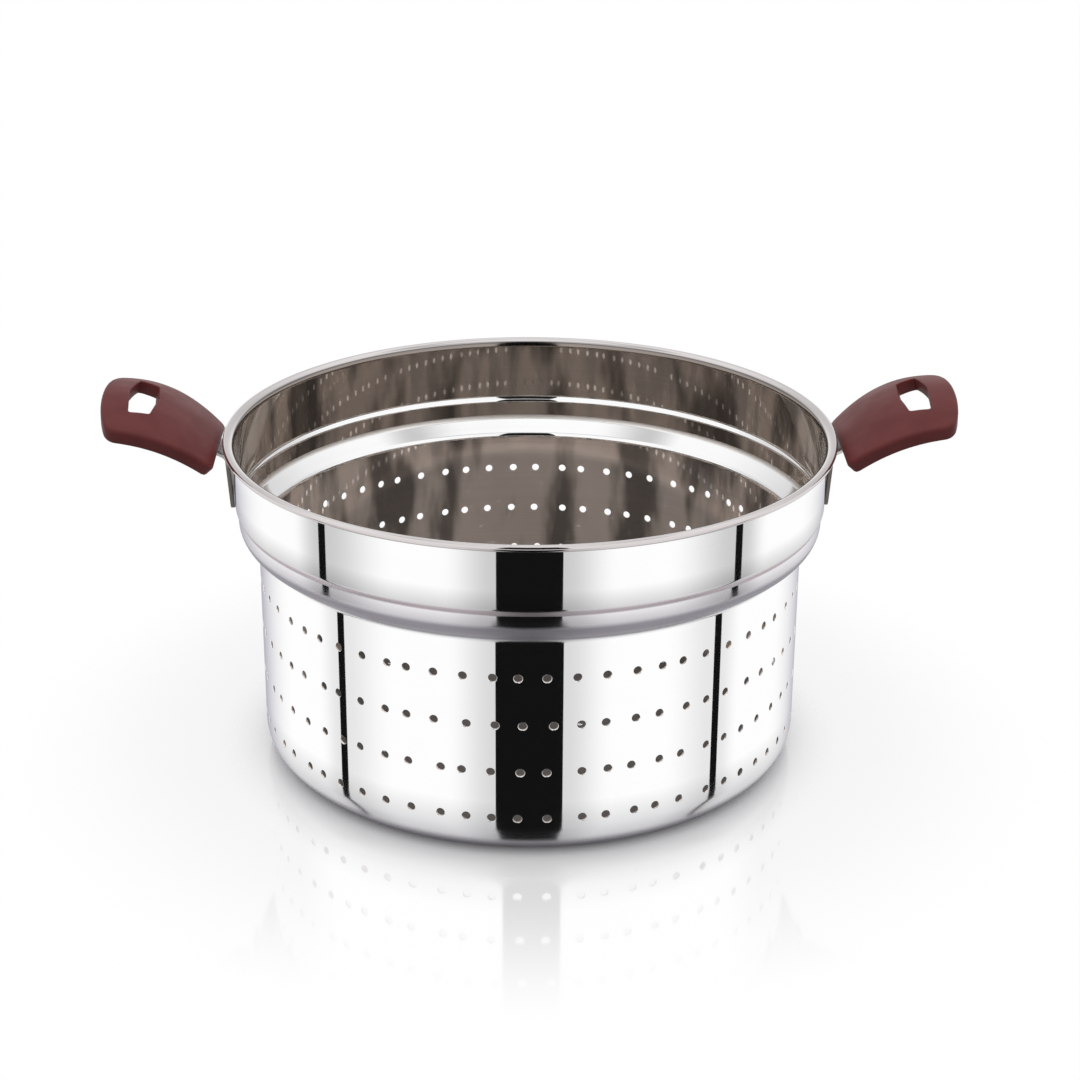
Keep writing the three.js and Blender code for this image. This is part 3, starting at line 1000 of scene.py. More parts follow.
@dataclass
class Handle:
    """One handle: strap bracket on the collar, slotted grip, screw and washer."""

    side: Side
    collar_radius: float = 118.0 * MM
    collar_low: float = 105.41 * MM
    clearance: float = 0.3 * MM
    grip_inner: float = 123.5 * MM
    grip_foot: float = 127.8 * MM
    grip_reach: float = 44.55 * MM
    grip_rise: float = 22.65 * MM
    arch_power: float = 2.2
    grip_thickness: float = 5.3 * MM
    inner_half: float = 24.15 * MM
    inner_bow: float = 0.6 * MM
    outer_half: float = 31.4 * MM
    inner_crown: float = 2.5 * MM
    outer_crown: float = 6.5 * MM
    swell: float = 19.0 * MM
    swell_half: float = 33.3 * MM
    tip_bow: float = 5.6 * MM
    tip_flat: float = 24.65 * MM
    corner: float = 3.3 * MM
    end_round: float = 2.0 * MM
    top_round: float = 1.3 * MM
    low_round: float = 0.9 * MM
    slot_reach: float = 28.9 * MM
    slot_half: float = 17.3 * MM
    slot_waist: float = 5.63 * MM
    slot_end: float = 3.85 * MM
    slot_skew: float = 1.3 * MM
    slot_corner: float = 1.4 * MM
    slot_round: float = 0.5 * MM
    grip_columns: int = 192
    fine_steps: int = 2880
    strap_half: float = 8.25 * MM
    strap_thickness: float = 1.6 * MM
    strap_round: float = 0.35 * MM
    pad_overhang: float = 3.6 * MM
    pad_lean: float = np.radians(4.0)
    pad_round: float = 3.0 * MM
    pad_bend: float = 2.8 * MM
    neck_angle: float = np.radians(26.0)
    neck_bend: float = 10.0 * MM
    tongue: float = 17.0 * MM
    screw_end_margin: float = 8.0 * MM
    shank_radius: float = 2.0 * MM
    head_radius: float = 3.5 * MM
    head_height: float = 2.2 * MM
    head_round: float = 0.9 * MM
    recess_half: float = 1.8 * MM
    recess_width: float = 0.45 * MM
    recess_depth: float = 1.1 * MM
    recess_taper: float = 0.6
    screw_tip: float = 0.7 * MM
    tip_chamfer: float = 0.3 * MM
    washer_radius: float = 3.8 * MM
    washer_height: float = 1.0 * MM
    washer_split: float = 0.8 * MM
    washer_round: float = 0.15 * MM
    washer_steps: int = 48
    spot_depth: float = 0.35 * MM

    def prefix(self) -> str:
        """Start of the names of this handle's pieces."""
        return self.side.name.lower()

    def place(self, points: Array) -> Array:
        """Carry points of the right handle to this side; the left one is turned half round."""
        return points * np.array([self.side.value, self.side.value, 1.0])

    def to_tip(self, reach: Array) -> Array:
        """Share of the grip's reach that is left at a place."""
        return np.maximum(1 - reach / self.grip_reach, 0.0)

    def slope(self, reach: Array) -> Array:
        """Angle of the arch, from the derivative of its height."""
        foot = self.arch_power * self.grip_rise / self.grip_reach
        return np.arctan(foot * self.to_tip(reach) ** (self.arch_power - 1))

    def arch(self, plan: Array, depth: Array) -> Array:
        """Bend a flat plate into the grip.

        The height is the rise times one less a power of the share that is left to the tip, less a
        crown that grows outwards with the square of the width. Depth goes square to the arch. The
        end at the rim bows towards it with the square of the width.

        Args:
            plan: Reach and place across, along the last axis.
            depth: Depth under the top of the plate.

        Returns:
            X, Y and Z of the points of the right handle.
        """
        reach, across = plan[..., 0], plan[..., 1]
        left, slope = self.to_tip(reach), self.slope(reach)
        crowns = self.inner_crown / self.inner_half ** 2, self.outer_crown / self.outer_half ** 2
        crown = crowns[1] + (crowns[0] - crowns[1]) * left
        bow = self.inner_bow * (1 - (across / self.inner_half) ** 2) * left
        rise = self.grip_rise * (1 - left ** self.arch_power)
        x = self.grip_inner + reach - bow + depth * np.sin(slope)
        z = self.grip_foot + rise - crown * across ** 2 - depth * np.cos(slope)
        return np.stack([x, across, z], axis=-1)

    def outline(self) -> Array:
        """Plan of the grip in reach and width: a bowed tip, tight corners and swelling sides.

        Each half is a quadratic curve from the middle of the tip, one round the corner, one down
        the side, one round the inner corner and a straight inner end.

        Returns:
            Points of the closed outline, from the tip round to it again.
        """
        tip, inner = self.grip_reach, self.inner_half
        corner = np.array([tip - self.tip_bow, self.outer_half])
        end = quadratic((tip, 0.0), (tip, self.tip_flat), corner, steps=60)
        side = quadratic(corner, (self.swell, self.swell_half), (0.0, inner), steps=80)
        end = end[np.linalg.norm(end - corner, axis=1) > self.corner]
        side = side[np.linalg.norm(side - corner, axis=1) > self.corner]
        side = side[np.hypot(side[:, 0], side[:, 1] - inner) > self.end_round]
        half = np.concatenate([
            end,
            quadratic(end[-1], corner, side[0], steps=16),
            side[1:],
            quadratic(side[-1], (0.0, inner), (0.0, inner - self.end_round), steps=16),
            straight((0.0, inner - self.end_round), (0.0, 0.0), steps=30),
        ])
        mirrored = half[::-1] * np.array([1.0, -1.0])
        return np.concatenate([half, mirrored[1:], [[tip, 0.0]]])

    def slot(self) -> Array:
        """Plan of the slot: a long round-cornered hexagon, widest in the middle, longer outside.

        Returns:
            Points of the closed outline in reach and place across.
        """
        long, short = self.slot_half + self.slot_skew, self.slot_half - self.slot_skew
        corners = np.array([
            (self.slot_waist, 0.0), (self.slot_end, long), (-self.slot_end, short),
            (-self.slot_waist, 0.0), (-self.slot_end, -short), (self.slot_end, -long),
        ]) + np.array([self.slot_reach, 0.0])
        before = corners + self.slot_corner * unit(np.roll(corners, 1, axis=0) - corners)
        after = corners + self.slot_corner * unit(np.roll(corners, -1, axis=0) - corners)
        ahead = np.roll(before, -1, axis=0)
        return np.concatenate([
            np.concatenate([quadratic(*knee, steps=12), straight(knee[2], goal, steps=30)])
            for knee, goal in zip(zip(before, corners, after), ahead)
        ])

    def build_grip(self) -> bpy.types.Object:
        """Make the grip: a closed loop round the slot times a closed section from slot to edge.

        A point of the plan lies between the slot's outline and the grip's outline at one bearing
        from the middle of the slot. The section goes over the top, down the rounded outer edge,
        back underneath and up the slot's wall.

        Returns:
            The finished piece.
        """
        middle = np.array([self.slot_reach, 0.0])
        fine = np.linspace(-np.pi, np.pi, self.fine_steps + 1)
        nudge = 2e-3

        def at(outline: Array, bearing: Array) -> Array:
            """Find points of an outline by their bearings.

            Args:
                outline: Points of a closed outline round the middle of the slot.
                bearing: Bearings from that middle.

            Returns:
                One point to each bearing.
            """
            offset = outline - middle
            angle = np.arctan2(offset[:, 1], offset[:, 0])
            reach = np.interp(bearing, angle, np.hypot(*offset.T), period=TURN)
            return middle + reach[:, None] * circle(bearing)

        def travel(outline: Array) -> Array:
            """Share of an outline's length that is passed at each fine bearing."""
            steps = np.linalg.norm(np.diff(at(outline, fine), axis=0), axis=1)
            return np.append(0.0, np.cumsum(steps)) / steps.sum()

        def outward(outline: Array, bearing: Array) -> Array:
            """Unit vectors square to an outline, away from the middle."""
            along = at(outline, bearing + nudge) - at(outline, bearing - nudge)
            return unit(np.stack([along[:, 1], -along[:, 0]], axis=1))

        edge, slot = self.outline(), self.slot()
        even = np.linspace(0.0, 2.0, self.grip_columns + 1)[:-1]
        bearing = np.interp(even, travel(edge) + travel(slot), fine)
        rows = self.grip_section()
        share, slot_off, edge_off, depth = rows.T[:, None, :, None]
        slot_points = at(slot, bearing)[:, None] + slot_off * outward(slot, bearing)[:, None]
        edge_points = at(edge, bearing)[:, None] - edge_off * outward(edge, bearing)[:, None]
        plan = (1 - share) * slot_points + share * edge_points
        mesh = PieceMesh()
        grid = mesh.add_points(self.place(self.arch(plan, depth[..., 0])))
        mesh.add_faces(lattice(grid, closed=True))
        return self.dress(mesh, "grip_moulding", "handle_grip", GRIP_PLASTIC)

    def grip_section(self) -> Array:
        """Closed section of the grip, from the slot over the top and back underneath.

        Returns:
            Rows of share of the way to the outer edge, distance from the slot, distance from the
            edge, and depth.
        """
        thick, top, low, slot = self.grip_thickness, self.top_round, self.low_round, self.slot_round
        shares = np.array([0.0, 0.04, 0.12, 0.25, 0.4, 0.55, 0.7, 0.82, 0.91, 0.97])
        quarter = np.linspace(0.0, np.pi / 2, 7)
        small = np.linspace(0.0, np.pi / 2, 5)

        def rows(share: Any, slot_off: Any, edge_off: Any, depth: Any) -> Array:
            """Rows of four columns, each a number or an array."""
            return np.stack(np.broadcast_arrays(share, slot_off, edge_off, depth), axis=1)

        return np.concatenate([
            rows(shares, slot, top, 0.0),
            rows(1.0, 0.0, top * (1 - np.sin(quarter)), top * (1 - np.cos(quarter))),
            rows(np.ones(1), 0.0, 0.0, (top + thick - low) / 2),
            rows(1.0, 0.0, low * (1 - np.cos(small)), thick - low * (1 - np.sin(small))),
            rows(1.0 - shares[1:], slot, low, thick),
            rows(0.0, slot * (1 - np.sin(small)), 0.0, thick - slot * (1 - np.cos(small))),
            rows(np.zeros(1), 0.0, 0.0, thick / 2),
            rows(0.0, slot * (1 - np.cos(small[:-1])), 0.0, slot * (1 - np.sin(small[:-1]))),
        ])

    def middle(self, reach: float) -> Array:
        """Middle of the grip's thickness on its centre line, in X and Z."""
        return self.arch(np.array([reach, 0.0]), np.array(self.grip_thickness / 2))[[0, 2]]

    def mouth(self) -> Array:
        """Middle of the grip's thickness at its inner end, in X and Z."""
        return self.middle(0.0)

    def tongue_reach(self) -> float:
        """Reach of the tongue's end: its length times the cosine of the slope at its middle."""
        return float(self.tongue * np.cos(self.slope(np.array(self.tongue / 2))))

    def tongue_angle(self) -> float:
        """Angle of the straight tongue: a chord of the middle of the grip's thickness."""
        chord = self.middle(self.tongue_reach()) - self.mouth()
        return float(np.arctan2(chord[1], chord[0]))

    def tongue_sag(self) -> float:
        """Height of the middle of the grip's thickness over the tongue at the screw.

        Returns:
            The distance square to the tongue.
        """
        angle = self.tongue_angle()
        share = 1 - self.screw_end_margin / self.tongue
        offset = self.middle(self.tongue_reach() * share) - self.mouth()
        return float(offset[1] * np.cos(angle) - offset[0] * np.sin(angle))

    def strap_path(self) -> PlanePath:
        """Middle of the strap in X and Z: up the collar, over the neck and into the grip.

        The lengths of pad and neck are the two that lead from the pad's foot to the grip's mouth.

        Returns:
            The path of the right handle's strap.
        """
        mouth, tongue_angle = self.mouth(), self.tongue_angle()
        rising, leaving = np.pi / 2 - self.pad_lean, self.neck_angle
        foot = np.array([
            self.collar_radius + self.clearance + self.strap_thickness / 2,
            self.collar_low - self.pad_overhang,
        ])
        way = mouth - foot - self.pad_bend * np.array([
            np.sin(rising) - np.sin(leaving), np.cos(leaving) - np.cos(rising),
        ])
        pad, neck_length = np.linalg.solve(
            [[np.cos(rising), np.cos(leaving)], [np.sin(rising), np.sin(leaving)]], way
        )
        turn = tongue_angle - leaving
        knee = self.neck_bend * np.tan(turn / 2)
        foot_shares = self.pad_round / pad * (1 - np.cos(np.linspace(0.0, np.pi / 2, 8)[1:]))
        path = PlanePath(tuple(foot), rising)
        path.run("pad", pad, np.append(foot_shares, (0.6, 1.0)))
        path.bend("pad_bend", leaving - rising, self.pad_bend, steps=8)
        path.run("neck", neck_length - knee, (0.5, 1.0))
        path.bend("neck_bend", turn, self.neck_bend, steps=5)
        path.run("tongue", self.tongue - knee, (0.5, 1.0))
        return path

    def build_bracket(self) -> bpy.types.Object:
        """Make the bracket: a strap's rounded section carried along its path.

        The pad lies on the collar's curve, so its points go back by the fall of that circle over
        their width. The pad's foot narrows on a quarter circle.

        Returns:
            The finished piece.
        """
        path = self.strap_path()
        half, thick, soft = self.strap_half, self.strap_thickness / 2, self.strap_round
        quarter = np.linspace(0.0, np.pi / 2, 4)
        flat = np.linspace(-1.0, 1.0, 9)[1:-1] * (half - soft)
        knee = (half - soft, thick - soft) + soft * circle(quarter)[:, ::-1]
        upper = np.concatenate([np.stack([flat, np.full_like(flat, thick)], axis=1), knee])
        section = np.concatenate([
            upper, knee[::-1] * (1, -1), -upper[:len(flat)], -knee, knee[::-1] * (-1, 1),
        ])

        travelled = path.points[:, 1] - path.points[0, 1]
        rise = np.clip(1 - travelled / self.pad_round, 0.0, 1.0)
        narrow = 1 - self.pad_round / half * (1 - np.sqrt(1 - rise ** 2))
        across = section[:, 0] * narrow[:, None]
        pad_radius = path.points[0, 0]
        bend = path.spans["pad_bend"]
        heights = path.points[[bend.start, bend.stop], 1]
        held = 1 - smoothstep((path.points[:, 1] - heights[0]) / (heights[1] - heights[0]))
        fall = held[:, None] * (pad_radius - np.sqrt(pad_radius ** 2 - across ** 2))
        left = -path.right()
        x = path.points[:, :1] + section[:, 1] * left[:, :1] - fall
        z = path.points[:, 1:] + section[:, 1] * left[:, 1:]
        mesh = PieceMesh()
        grid = mesh.add_points(self.place(np.stack([x, across, z], axis=-1)))
        mesh.add_tube(grid)
        return self.dress(mesh, "strap_bracket", "handle_bracket", STRAP_STEEL)

    def at_screw(self, points: Array) -> Array:
        """Carry points about the screw's axis, which is square to the tongue, to this handle.

        Args:
            points: X, Y and Z, with Z along the axis from the middle of the tongue.

        Returns:
            The same points in the frame of the object.
        """
        angle = self.tongue_angle()
        mouth = self.mouth()
        reach = self.tongue - self.screw_end_margin
        sine, cosine = np.sin(angle), np.cos(angle)
        x = points[..., 0] * cosine - points[..., 2] * sine + mouth[0] + reach * cosine
        z = points[..., 0] * sine + points[..., 2] * cosine + mouth[1] + reach * sine
        return self.place(np.stack([x, points[..., 1], z], axis=-1))

    def washer_top(self) -> float:
        """Level of the washer's upper face on the screw's axis, from the middle of the tongue."""
        return self.tongue_sag() + self.spot_depth - self.grip_thickness / 2 - self.clearance

    def build_screw(self) -> bpy.types.Object:
        """Make the screw: rings about its axis, with a cross recess in the head.

        The recess's radius at a bearing is the larger of the radii of its two crossed bars, and a
        bar's radius is the smaller of its half length over the cosine and its half width over the
        sine.

        Returns:
            The finished piece.
        """
        long, wide = self.recess_half, self.recess_width
        knee = np.arctan2(wide, long)
        eighth = np.concatenate([[0.0], np.linspace(knee, np.pi / 4, 3), [np.pi / 2 - knee]])
        mid = (np.pi / 4 + np.pi / 2 - knee) / 2
        bearing = np.concatenate([np.insert(eighth, 4, mid) + i * np.pi / 2 for i in range(4)])
        cos, sin = np.abs(np.cos(bearing)) + 1e-9, np.abs(np.sin(bearing)) + 1e-9
        bars = np.minimum(long / cos, wide / sin), np.minimum(wide / cos, long / sin)
        cross = np.maximum(*bars)

        top = self.washer_top() - self.washer_height - self.clearance
        end = top - self.head_height
        tip = self.strap_thickness / 2 + self.screw_tip
        quarter = np.linspace(0.0, np.pi / 2, 6)
        dome = np.stack([
            self.head_radius - self.head_round * (1 - np.sin(quarter)),
            end + self.head_round * (1 - np.cos(quarter)),
        ], axis=1)
        rings = np.concatenate([dome, [
            (self.head_radius, top), (self.shank_radius, top),
            (self.shank_radius, tip - self.tip_chamfer),
            (self.shank_radius - self.tip_chamfer, tip),
        ]])
        deep = np.full_like(cross, end + self.recess_depth)
        floor = np.stack([cross * self.recess_taper, deep], axis=1)
        lip = np.stack([cross, np.full_like(cross, end)], axis=1)
        around = np.broadcast_to(rings[:, None], (len(rings), len(bearing), 2))
        mesh = PieceMesh()
        grid = mesh.add_points(self.at_screw(spin(np.concatenate([[floor, lip], around]), bearing)))
        mesh.add_tube(grid)
        return self.dress(mesh, "grip_screw", "handle_screw", FASTENER_STEEL)

    def build_washer(self) -> bpy.types.Object:
        """Make the lock washer: a rounded square section carried round the shank, cut at one place.

        Returns:
            The finished piece.
        """
        inner, high = self.shank_radius + self.clearance, self.washer_height
        soft = self.washer_round
        corner = soft * circle(np.linspace(0.0, np.pi / 2, 4))
        wide = (self.washer_radius - inner) / 2 - soft
        tall = high / 2 - soft
        section = np.concatenate([
            corner + (wide, tall), corner[::-1] * (-1, 1) + (-wide, tall),
            -corner + (-wide, -tall), corner[::-1] * (1, -1) + (wide, -tall),
        ]) + ((inner + self.washer_radius) / 2, self.washer_top() - high / 2)
        gap = np.arcsin(self.washer_split / 2 / inner)
        turns = np.linspace(gap, TURN - gap, self.washer_steps + 1)
        mesh = PieceMesh()
        points = spin(np.broadcast_to(section, (len(turns), *section.shape)), turns[:, None])
        grid = mesh.add_points(self.at_screw(points))
        mesh.add_tube(grid)
        return self.dress(mesh, "split_washer", "lock_washer", FASTENER_STEEL)

    def dress(
        self, mesh: PieceMesh, name: str, node: str, finish: Finish
    ) -> bpy.types.Object:
        """Make a piece of this handle from its mesh, in place of a CAD node.

        Args:
            mesh: The piece's faces.
            name: Its name without the side.
            node: The CAD node's name without the side.
            finish: The finish, which both handles share.

        Returns:
            The finished piece.
        """
        piece = mesh.make(f"{self.prefix()}_{name}", [finish.make()])
        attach(piece, ROOT)
        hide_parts(f"{self.prefix()}_{node}")
        return piece

    def build(self) -> list[bpy.types.Object]:
        """Make the four pieces of the handle."""
        return [self.build_bracket(), self.build_grip(), self.build_screw(), self.build_washer()]


@dataclass(frozen=True)
class Gap:
    """A dark gap between two light panels, by the wall's bearing that mirrors it, in degrees."""

    bearing: float
    half_width: float
    beside: float
    fall: tuple[float, float]
    curl: float = 0.0


@dataclass(frozen=True)
class Apron:
    """Light panels round the pot: a strip of floor with a tone to each bearing of the wall."""

    name: str
    wall_radius: float
    reach: tuple[float, float]
    gaps: tuple[Gap, ...]
    turned: bool = False
    height: float = 0.3 * MM
    limit: float = 84.0
    edge_blur: float = 0.04
    rows: int = 36
    black: float = 0.006
    dusk: Colour = (0.45, 0.435, 0.50)
    dusk_range: tuple[float, float] = (58.0, 84.0)
    dusk_end: float = 1.0
    curl_reach: float = 28.0 * MM

    def columns(self) -> Array:
        """Bearings of the columns: even steps, and a close pair at each side of each gap.

        Returns:
            Bearings in degrees, in order.
        """
        middles = np.array([gap.bearing for gap in self.gaps])
        halves = np.array([gap.half_width for gap in self.gaps])
        sides = np.concatenate([middles - halves, middles + halves])
        even = np.arange(-self.limit, self.limit + 0.5, 1.0)
        return np.sort(np.concatenate([even, sides - self.edge_blur, sides + self.edge_blur]))

    def tones(self, bearing: Array, share: Array) -> Array:
        """Colour of each column at each share of the reach.

        White is dimmed beside each gap by a smooth step of the distance from it, black in the gap,
        and mixed with the dusk colour towards both ends. The dusk fades after its end.

        Args:
            bearing: Bearings in degrees.
            share: Shares of the reach, as a column.

        Returns:
            Red, green and blue, reaches by bearings.
        """
        tone = np.ones_like(bearing)
        for gap in self.gaps:
            away = bearing - gap.bearing
            fall = np.where(away < 0, *gap.fall)
            outside = np.maximum(np.abs(away) - gap.half_width, 0.0)
            beside = 1 - (1 - gap.beside) * (1 - smoothstep(outside / fall))
            tone = tone * np.where(outside > 0.0, beside, self.black)
        low, high = self.dusk_range
        late = smoothstep((np.abs(bearing) - low) / (high - low))
        past = 1.001 - self.dusk_end
        late = (late * (1 - smoothstep((share - self.dusk_end) / past)))[..., None]
        return tone[:, None] * (1 - late + late * np.array(self.dusk))

    def grid(self, eye: Array) -> tuple[Array, Array]:
        """Points and tones of the strip.

        A line of sight in plan is mirrored at the wall and followed on for the reach. A gap's curl
        shifts its bearing towards the wall's foot, and bearings between gaps shift in proportion.

        Args:
            eye: Place of the camera.

        Returns:
            Points and colours, reaches by bearings.
        """
        columns = self.columns()
        near, far = self.reach
        share = np.linspace(0.0, 1.0, self.rows)[:, None] ** 2
        reach = near + (far - near) * share
        marks = [-self.limit, *(gap.bearing for gap in self.gaps), self.limit]
        curl = np.interp(columns, marks, [0.0, *(gap.curl for gap in self.gaps), 0.0])
        angle = np.radians(columns + curl * (1 - smoothstep(reach / self.curl_reach))) - np.pi / 2
        normal = circle(angle)
        wall = self.wall_radius * normal
        sight = unit(wall - eye[:2])
        mirrored = sight - 2 * np.sum(sight * normal, axis=-1, keepdims=True) * normal
        plan = wall + reach[..., None] * mirrored
        plan = -plan if self.turned else plan
        return np.dstack([plan, np.full(plan.shape[:2], self.height)]), self.tones(columns, share)


@dataclass
class Studio:
    """Pale floor, soft light, light panels for the mirror finish, and the camera."""

    eye: tuple[float, float, float] = (-20.06 * MM, -857.43 * MM, 441.70 * MM)
    yaw: float = np.radians(1.617)
    pitch: float = np.radians(22.602)
    roll: float = np.radians(0.317)
    focal_pixels: float = 2282.05
    frame_pixels: float = 1080.0
    sensor: float = 36.0
    view_end: float = 20.0
    floor_half: float = 4.0
    floor_tint: float = 0.97
    floor_bounce: float = 0.1
    floor_roughness: float = 0.04
    floor_dull: float = 0.03
    sheen_scale: float = 3.0
    sky_low: float = 0.15
    sky_high: float = 1.7
    levels: tuple[float, float, float, float] = (0.4, 0.85, 0.86, 0.98)
    wall_shade: float = 0.3
    wall_fade: float = 0.5
    slot_shade: float = 0.99
    slot_spread: float = 0.22
    ring_shade: float = 0.4
    mirror_bounces: int = 16
    shadow_fade: tuple[float, float] = (94.0 * MM, 132.0 * MM)
    fade: float = 0.97
    gloss_fade: tuple[float, float] = (120.0 * MM, 220.0 * MM)
    gloss: float = 0.3
    panel_drop: float = 0.1 * MM
    basket_reach: Range = (0.0, 232.0 * MM)
    basket_gaps: tuple[Gap, ...] = (
        Gap(-41.5, 0.9, 0.80, (6.0, 12.0), 3.0),
        Gap(-1.3, 6.55, 0.70, (10.0, 10.0)),
        Gap(38.9, 0.9, 0.80, (12.0, 6.0), -3.5),
    )
    collar_reach: Range = (213.0 * MM, 360.0 * MM)
    collar_gaps: tuple[Gap, ...] = (
        Gap(-41.3, 0.85, 0.60, (7.0, 15.0)),
        Gap(-1.35, 5.8, 0.60, (10.0, 10.0)),
        Gap(39.0, 0.85, 0.60, (15.0, 7.0)),
    )

    def aprons(self) -> list[Apron]:
        """Panels before the pot, and the same turned behind it, a little lower where both reach.

        Returns:
            The strips for the basket and the collar, before and behind.
        """
        body = StrainerBody()
        front = [
            Apron(
                "basket_panels", body.basket_radius, self.basket_reach, self.basket_gaps,
                height=0.25 * MM,
            ),
            Apron(
                "collar_panels", body.collar_radius(), self.collar_reach, self.collar_gaps,
                dusk_end=0.6,
            ),
        ]
        back = [
            replace(
                apron,
                name=f"{apron.name}_behind",
                turned=True,
                height=apron.height - self.panel_drop,
            )
            for apron in front
        ]
        return front + back

    def build_world(self) -> None:
        """White for the camera, soft from above for diffuse light, and panels for mirrors.

        Mirrors see white, but for a dark upright slot before the pot, a dark ring round the panel
        overhead and a dim wall behind the pot.
        """
        world = bpy.data.worlds.new("soft_sky")
        bpy.context.scene.world = world
        graph = NodeGraph(world)
        way = graph.node("ShaderNodeTexCoord", output="Generated")
        up, ahead, aside = (graph.axis(way, name) for name in "ZYX")
        sky = up.at_least(0.0) ** 2.0 * self.sky_high + self.sky_low
        wall_low, wall_high, ring_low, ring_high = self.levels
        behind = graph.ramp(up, 0.0, wall_low) * (1 - graph.ramp(up, wall_low, wall_high))
        behind = behind * graph.ramp(ahead, 0.0, self.wall_fade)
        slot = graph.less(aside * aside, ahead * ahead * self.slot_spread ** 2)
        slot = slot * graph.less(ahead, 0.0) * graph.less(up, ring_low)
        middle = (ring_low + ring_high) / 2
        ring = graph.ramp(up, ring_low, middle) * (1 - graph.ramp(up, middle, ring_high))
        panels = (1 - behind * self.wall_shade) * (1 - slot * self.slot_shade)
        panels = panels * (1 - ring * self.ring_shade)
        camera, mirror, clear = (
            graph.node("ShaderNodeLightPath", output=name)
            for name in ("Is Camera Ray", "Is Glossy Ray", "Is Transmission Ray")
        )
        seen = (camera + clear).at_most(1.0)
        strength = sky + seen * (1 - sky)
        strength = strength + mirror * (1 - seen) * (panels - strength)
        background = graph.node(
            "ShaderNodeBackground", inputs={"Color": grey(1.0), "Strength": strength}
        )
        graph.node("ShaderNodeOutputWorld", inputs={"Surface": background})

    def build_floor(self) -> bpy.types.Object:
        """A pale polished floor that takes the shadow near the pot and throws little light up.

        Returns:
            The floor, as part of the stage.
        """
        half = self.floor_half
        mesh = PieceMesh()
        corners = half * np.array([(-1, -1, 0), (1, -1, 0), (1, 1, 0), (-1, 1, 0)])
        mesh.add_faces(mesh.add_points(corners)[None])
        material, graph = new_material("pale_floor")
        place = graph.place()
        sheen = graph.noise(place, self.sheen_scale, detail=2.0)
        radius = graph.node(
            "ShaderNodeVectorMath", {"operation": "LENGTH"}, {0: place}, output="Value"
        )
        pale = graph.node("ShaderNodeBsdfDiffuse", inputs={"Color": grey(self.floor_tint)})
        white = graph.node("ShaderNodeEmission", inputs={"Color": grey(1.0)})
        lit = graph.node("ShaderNodeMixShader", inputs={
            0: graph.ramp(radius, *self.shadow_fade) * self.fade, 1: pale, 2: white,
        })
        polish = graph.node("ShaderNodeBsdfAnisotropic", inputs={
            "Color": grey(1.0), "Roughness": sheen * self.floor_dull + self.floor_roughness,
        })
        gloss = (1 - graph.ramp(radius, *self.gloss_fade)) * self.gloss
        seen = graph.node("ShaderNodeMixShader", inputs={0: gloss, 1: lit, 2: polish})
        dark = graph.node("ShaderNodeBsdfDiffuse", inputs={"Color": grey(self.floor_bounce)})
        bounce = graph.node("ShaderNodeLightPath", output="Is Diffuse Ray")
        graph.surface(graph.node("ShaderNodeMixShader", inputs={0: bounce, 1: seen, 2: dark}))
        floor = mesh.make("floor", [material])
        return floor

    def build_apron(self, apron: Apron) -> bpy.types.Object:
        """Lay a strip of light panels on the floor that only mirrors see, and only from above.

        Args:
            apron: The strip.

        Returns:
            The panels, as part of the stage.
        """
        points, tones = apron.grid(np.array(self.eye))
        mesh = PieceMesh()
        index = mesh.add_points(points)
        near, far = index[:-1], index[1:]
        mesh.add_faces(np.stack([near[:, :-1], far[:, :-1], far[:, 1:], near[:, 1:]], axis=2))
        material, graph = new_material(apron.name)
        back = graph.node("ShaderNodeNewGeometry", output="Backfacing")
        tone = graph.node("ShaderNodeAttribute", {"attribute_name": "tone"}, output="Color")
        light = graph.node("ShaderNodeEmission", inputs={"Color": tone})
        clear = graph.node("ShaderNodeBsdfTransparent")
        graph.surface(graph.node("ShaderNodeMixShader", inputs={0: back, 1: light, 2: clear}))
        panels = mesh.make(apron.name, [material])
        colours = panels.data.color_attributes.new("tone", "FLOAT_COLOR", "POINT")
        colours.data.foreach_set("color", np.dstack([tones, np.ones(tones.shape[:2])]).ravel())
        panels.visible_camera = False
        panels.visible_diffuse = False
        panels.visible_transmission = False
        panels.visible_shadow = False
        return panels

    def build_camera(self) -> None:
        """Set the camera by its place, its bearing from +Y towards +X, its tilt and its roll."""
        data = bpy.data.cameras.new("camera")
        data.sensor_width = self.sensor
        data.lens = self.sensor * self.focal_pixels / self.frame_pixels
        data.clip_end = self.view_end
        ahead = np.array([
            np.sin(self.yaw) * np.cos(self.pitch),
            np.cos(self.yaw) * np.cos(self.pitch),
            -np.sin(self.pitch),
        ])
        level = np.array([np.cos(self.yaw), -np.sin(self.yaw), 0.0])
        up = np.cross(level, ahead)
        right = np.cos(self.roll) * level + np.sin(self.roll) * up
        above = np.cos(self.roll) * up - np.sin(self.roll) * level
        camera = bpy.data.objects.new("camera", data)
        turn = Matrix(np.column_stack([right, above, -ahead]).tolist()).to_4x4()
        camera.matrix_world = Matrix.Translation(self.eye) @ turn
        bpy.context.collection.objects.link(camera)
        bpy.context.scene.camera = camera

    def build(self) -> None:
        """Make the light, the floor, the panels and the camera."""
        self.build_camera()
        self.build_world()
        self.build_floor()
        for apron in self.aprons():
            self.build_apron(apron)
        bpy.context.scene.view_settings.view_transform = "Standard"
        bpy.context.scene.cycles.max_bounces = self.mirror_bounces
        bpy.context.scene.cycles.glossy_bounces = self.mirror_bounces


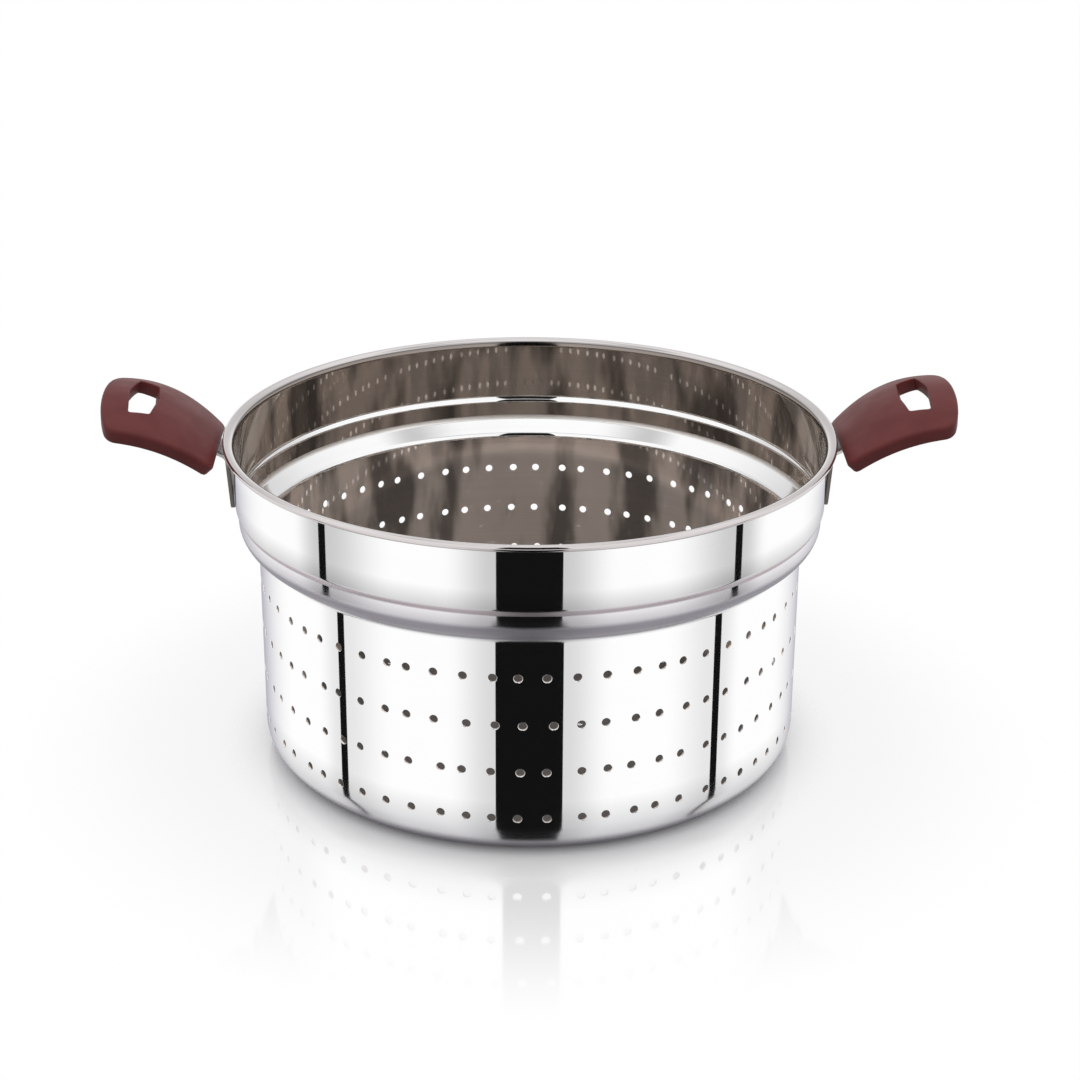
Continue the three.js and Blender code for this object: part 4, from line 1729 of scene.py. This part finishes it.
def main() -> None:
    """Build the studio, the body and both handles, and report each piece."""
    logging.basicConfig(level=logging.INFO, format="%(name)s: %(message)s")
    Studio().build()
    pieces = [StrainerBody().build()]
    for side in Side:
        pieces += Handle(side).build()
    for piece in pieces:
        LOG.info("%s: %d faces", piece.name, len(piece.data.polygons))
    LOG.info("%d pieces stand for %d nodes", len(pieces), len(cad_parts))


if __name__ == "__main__":
    main()
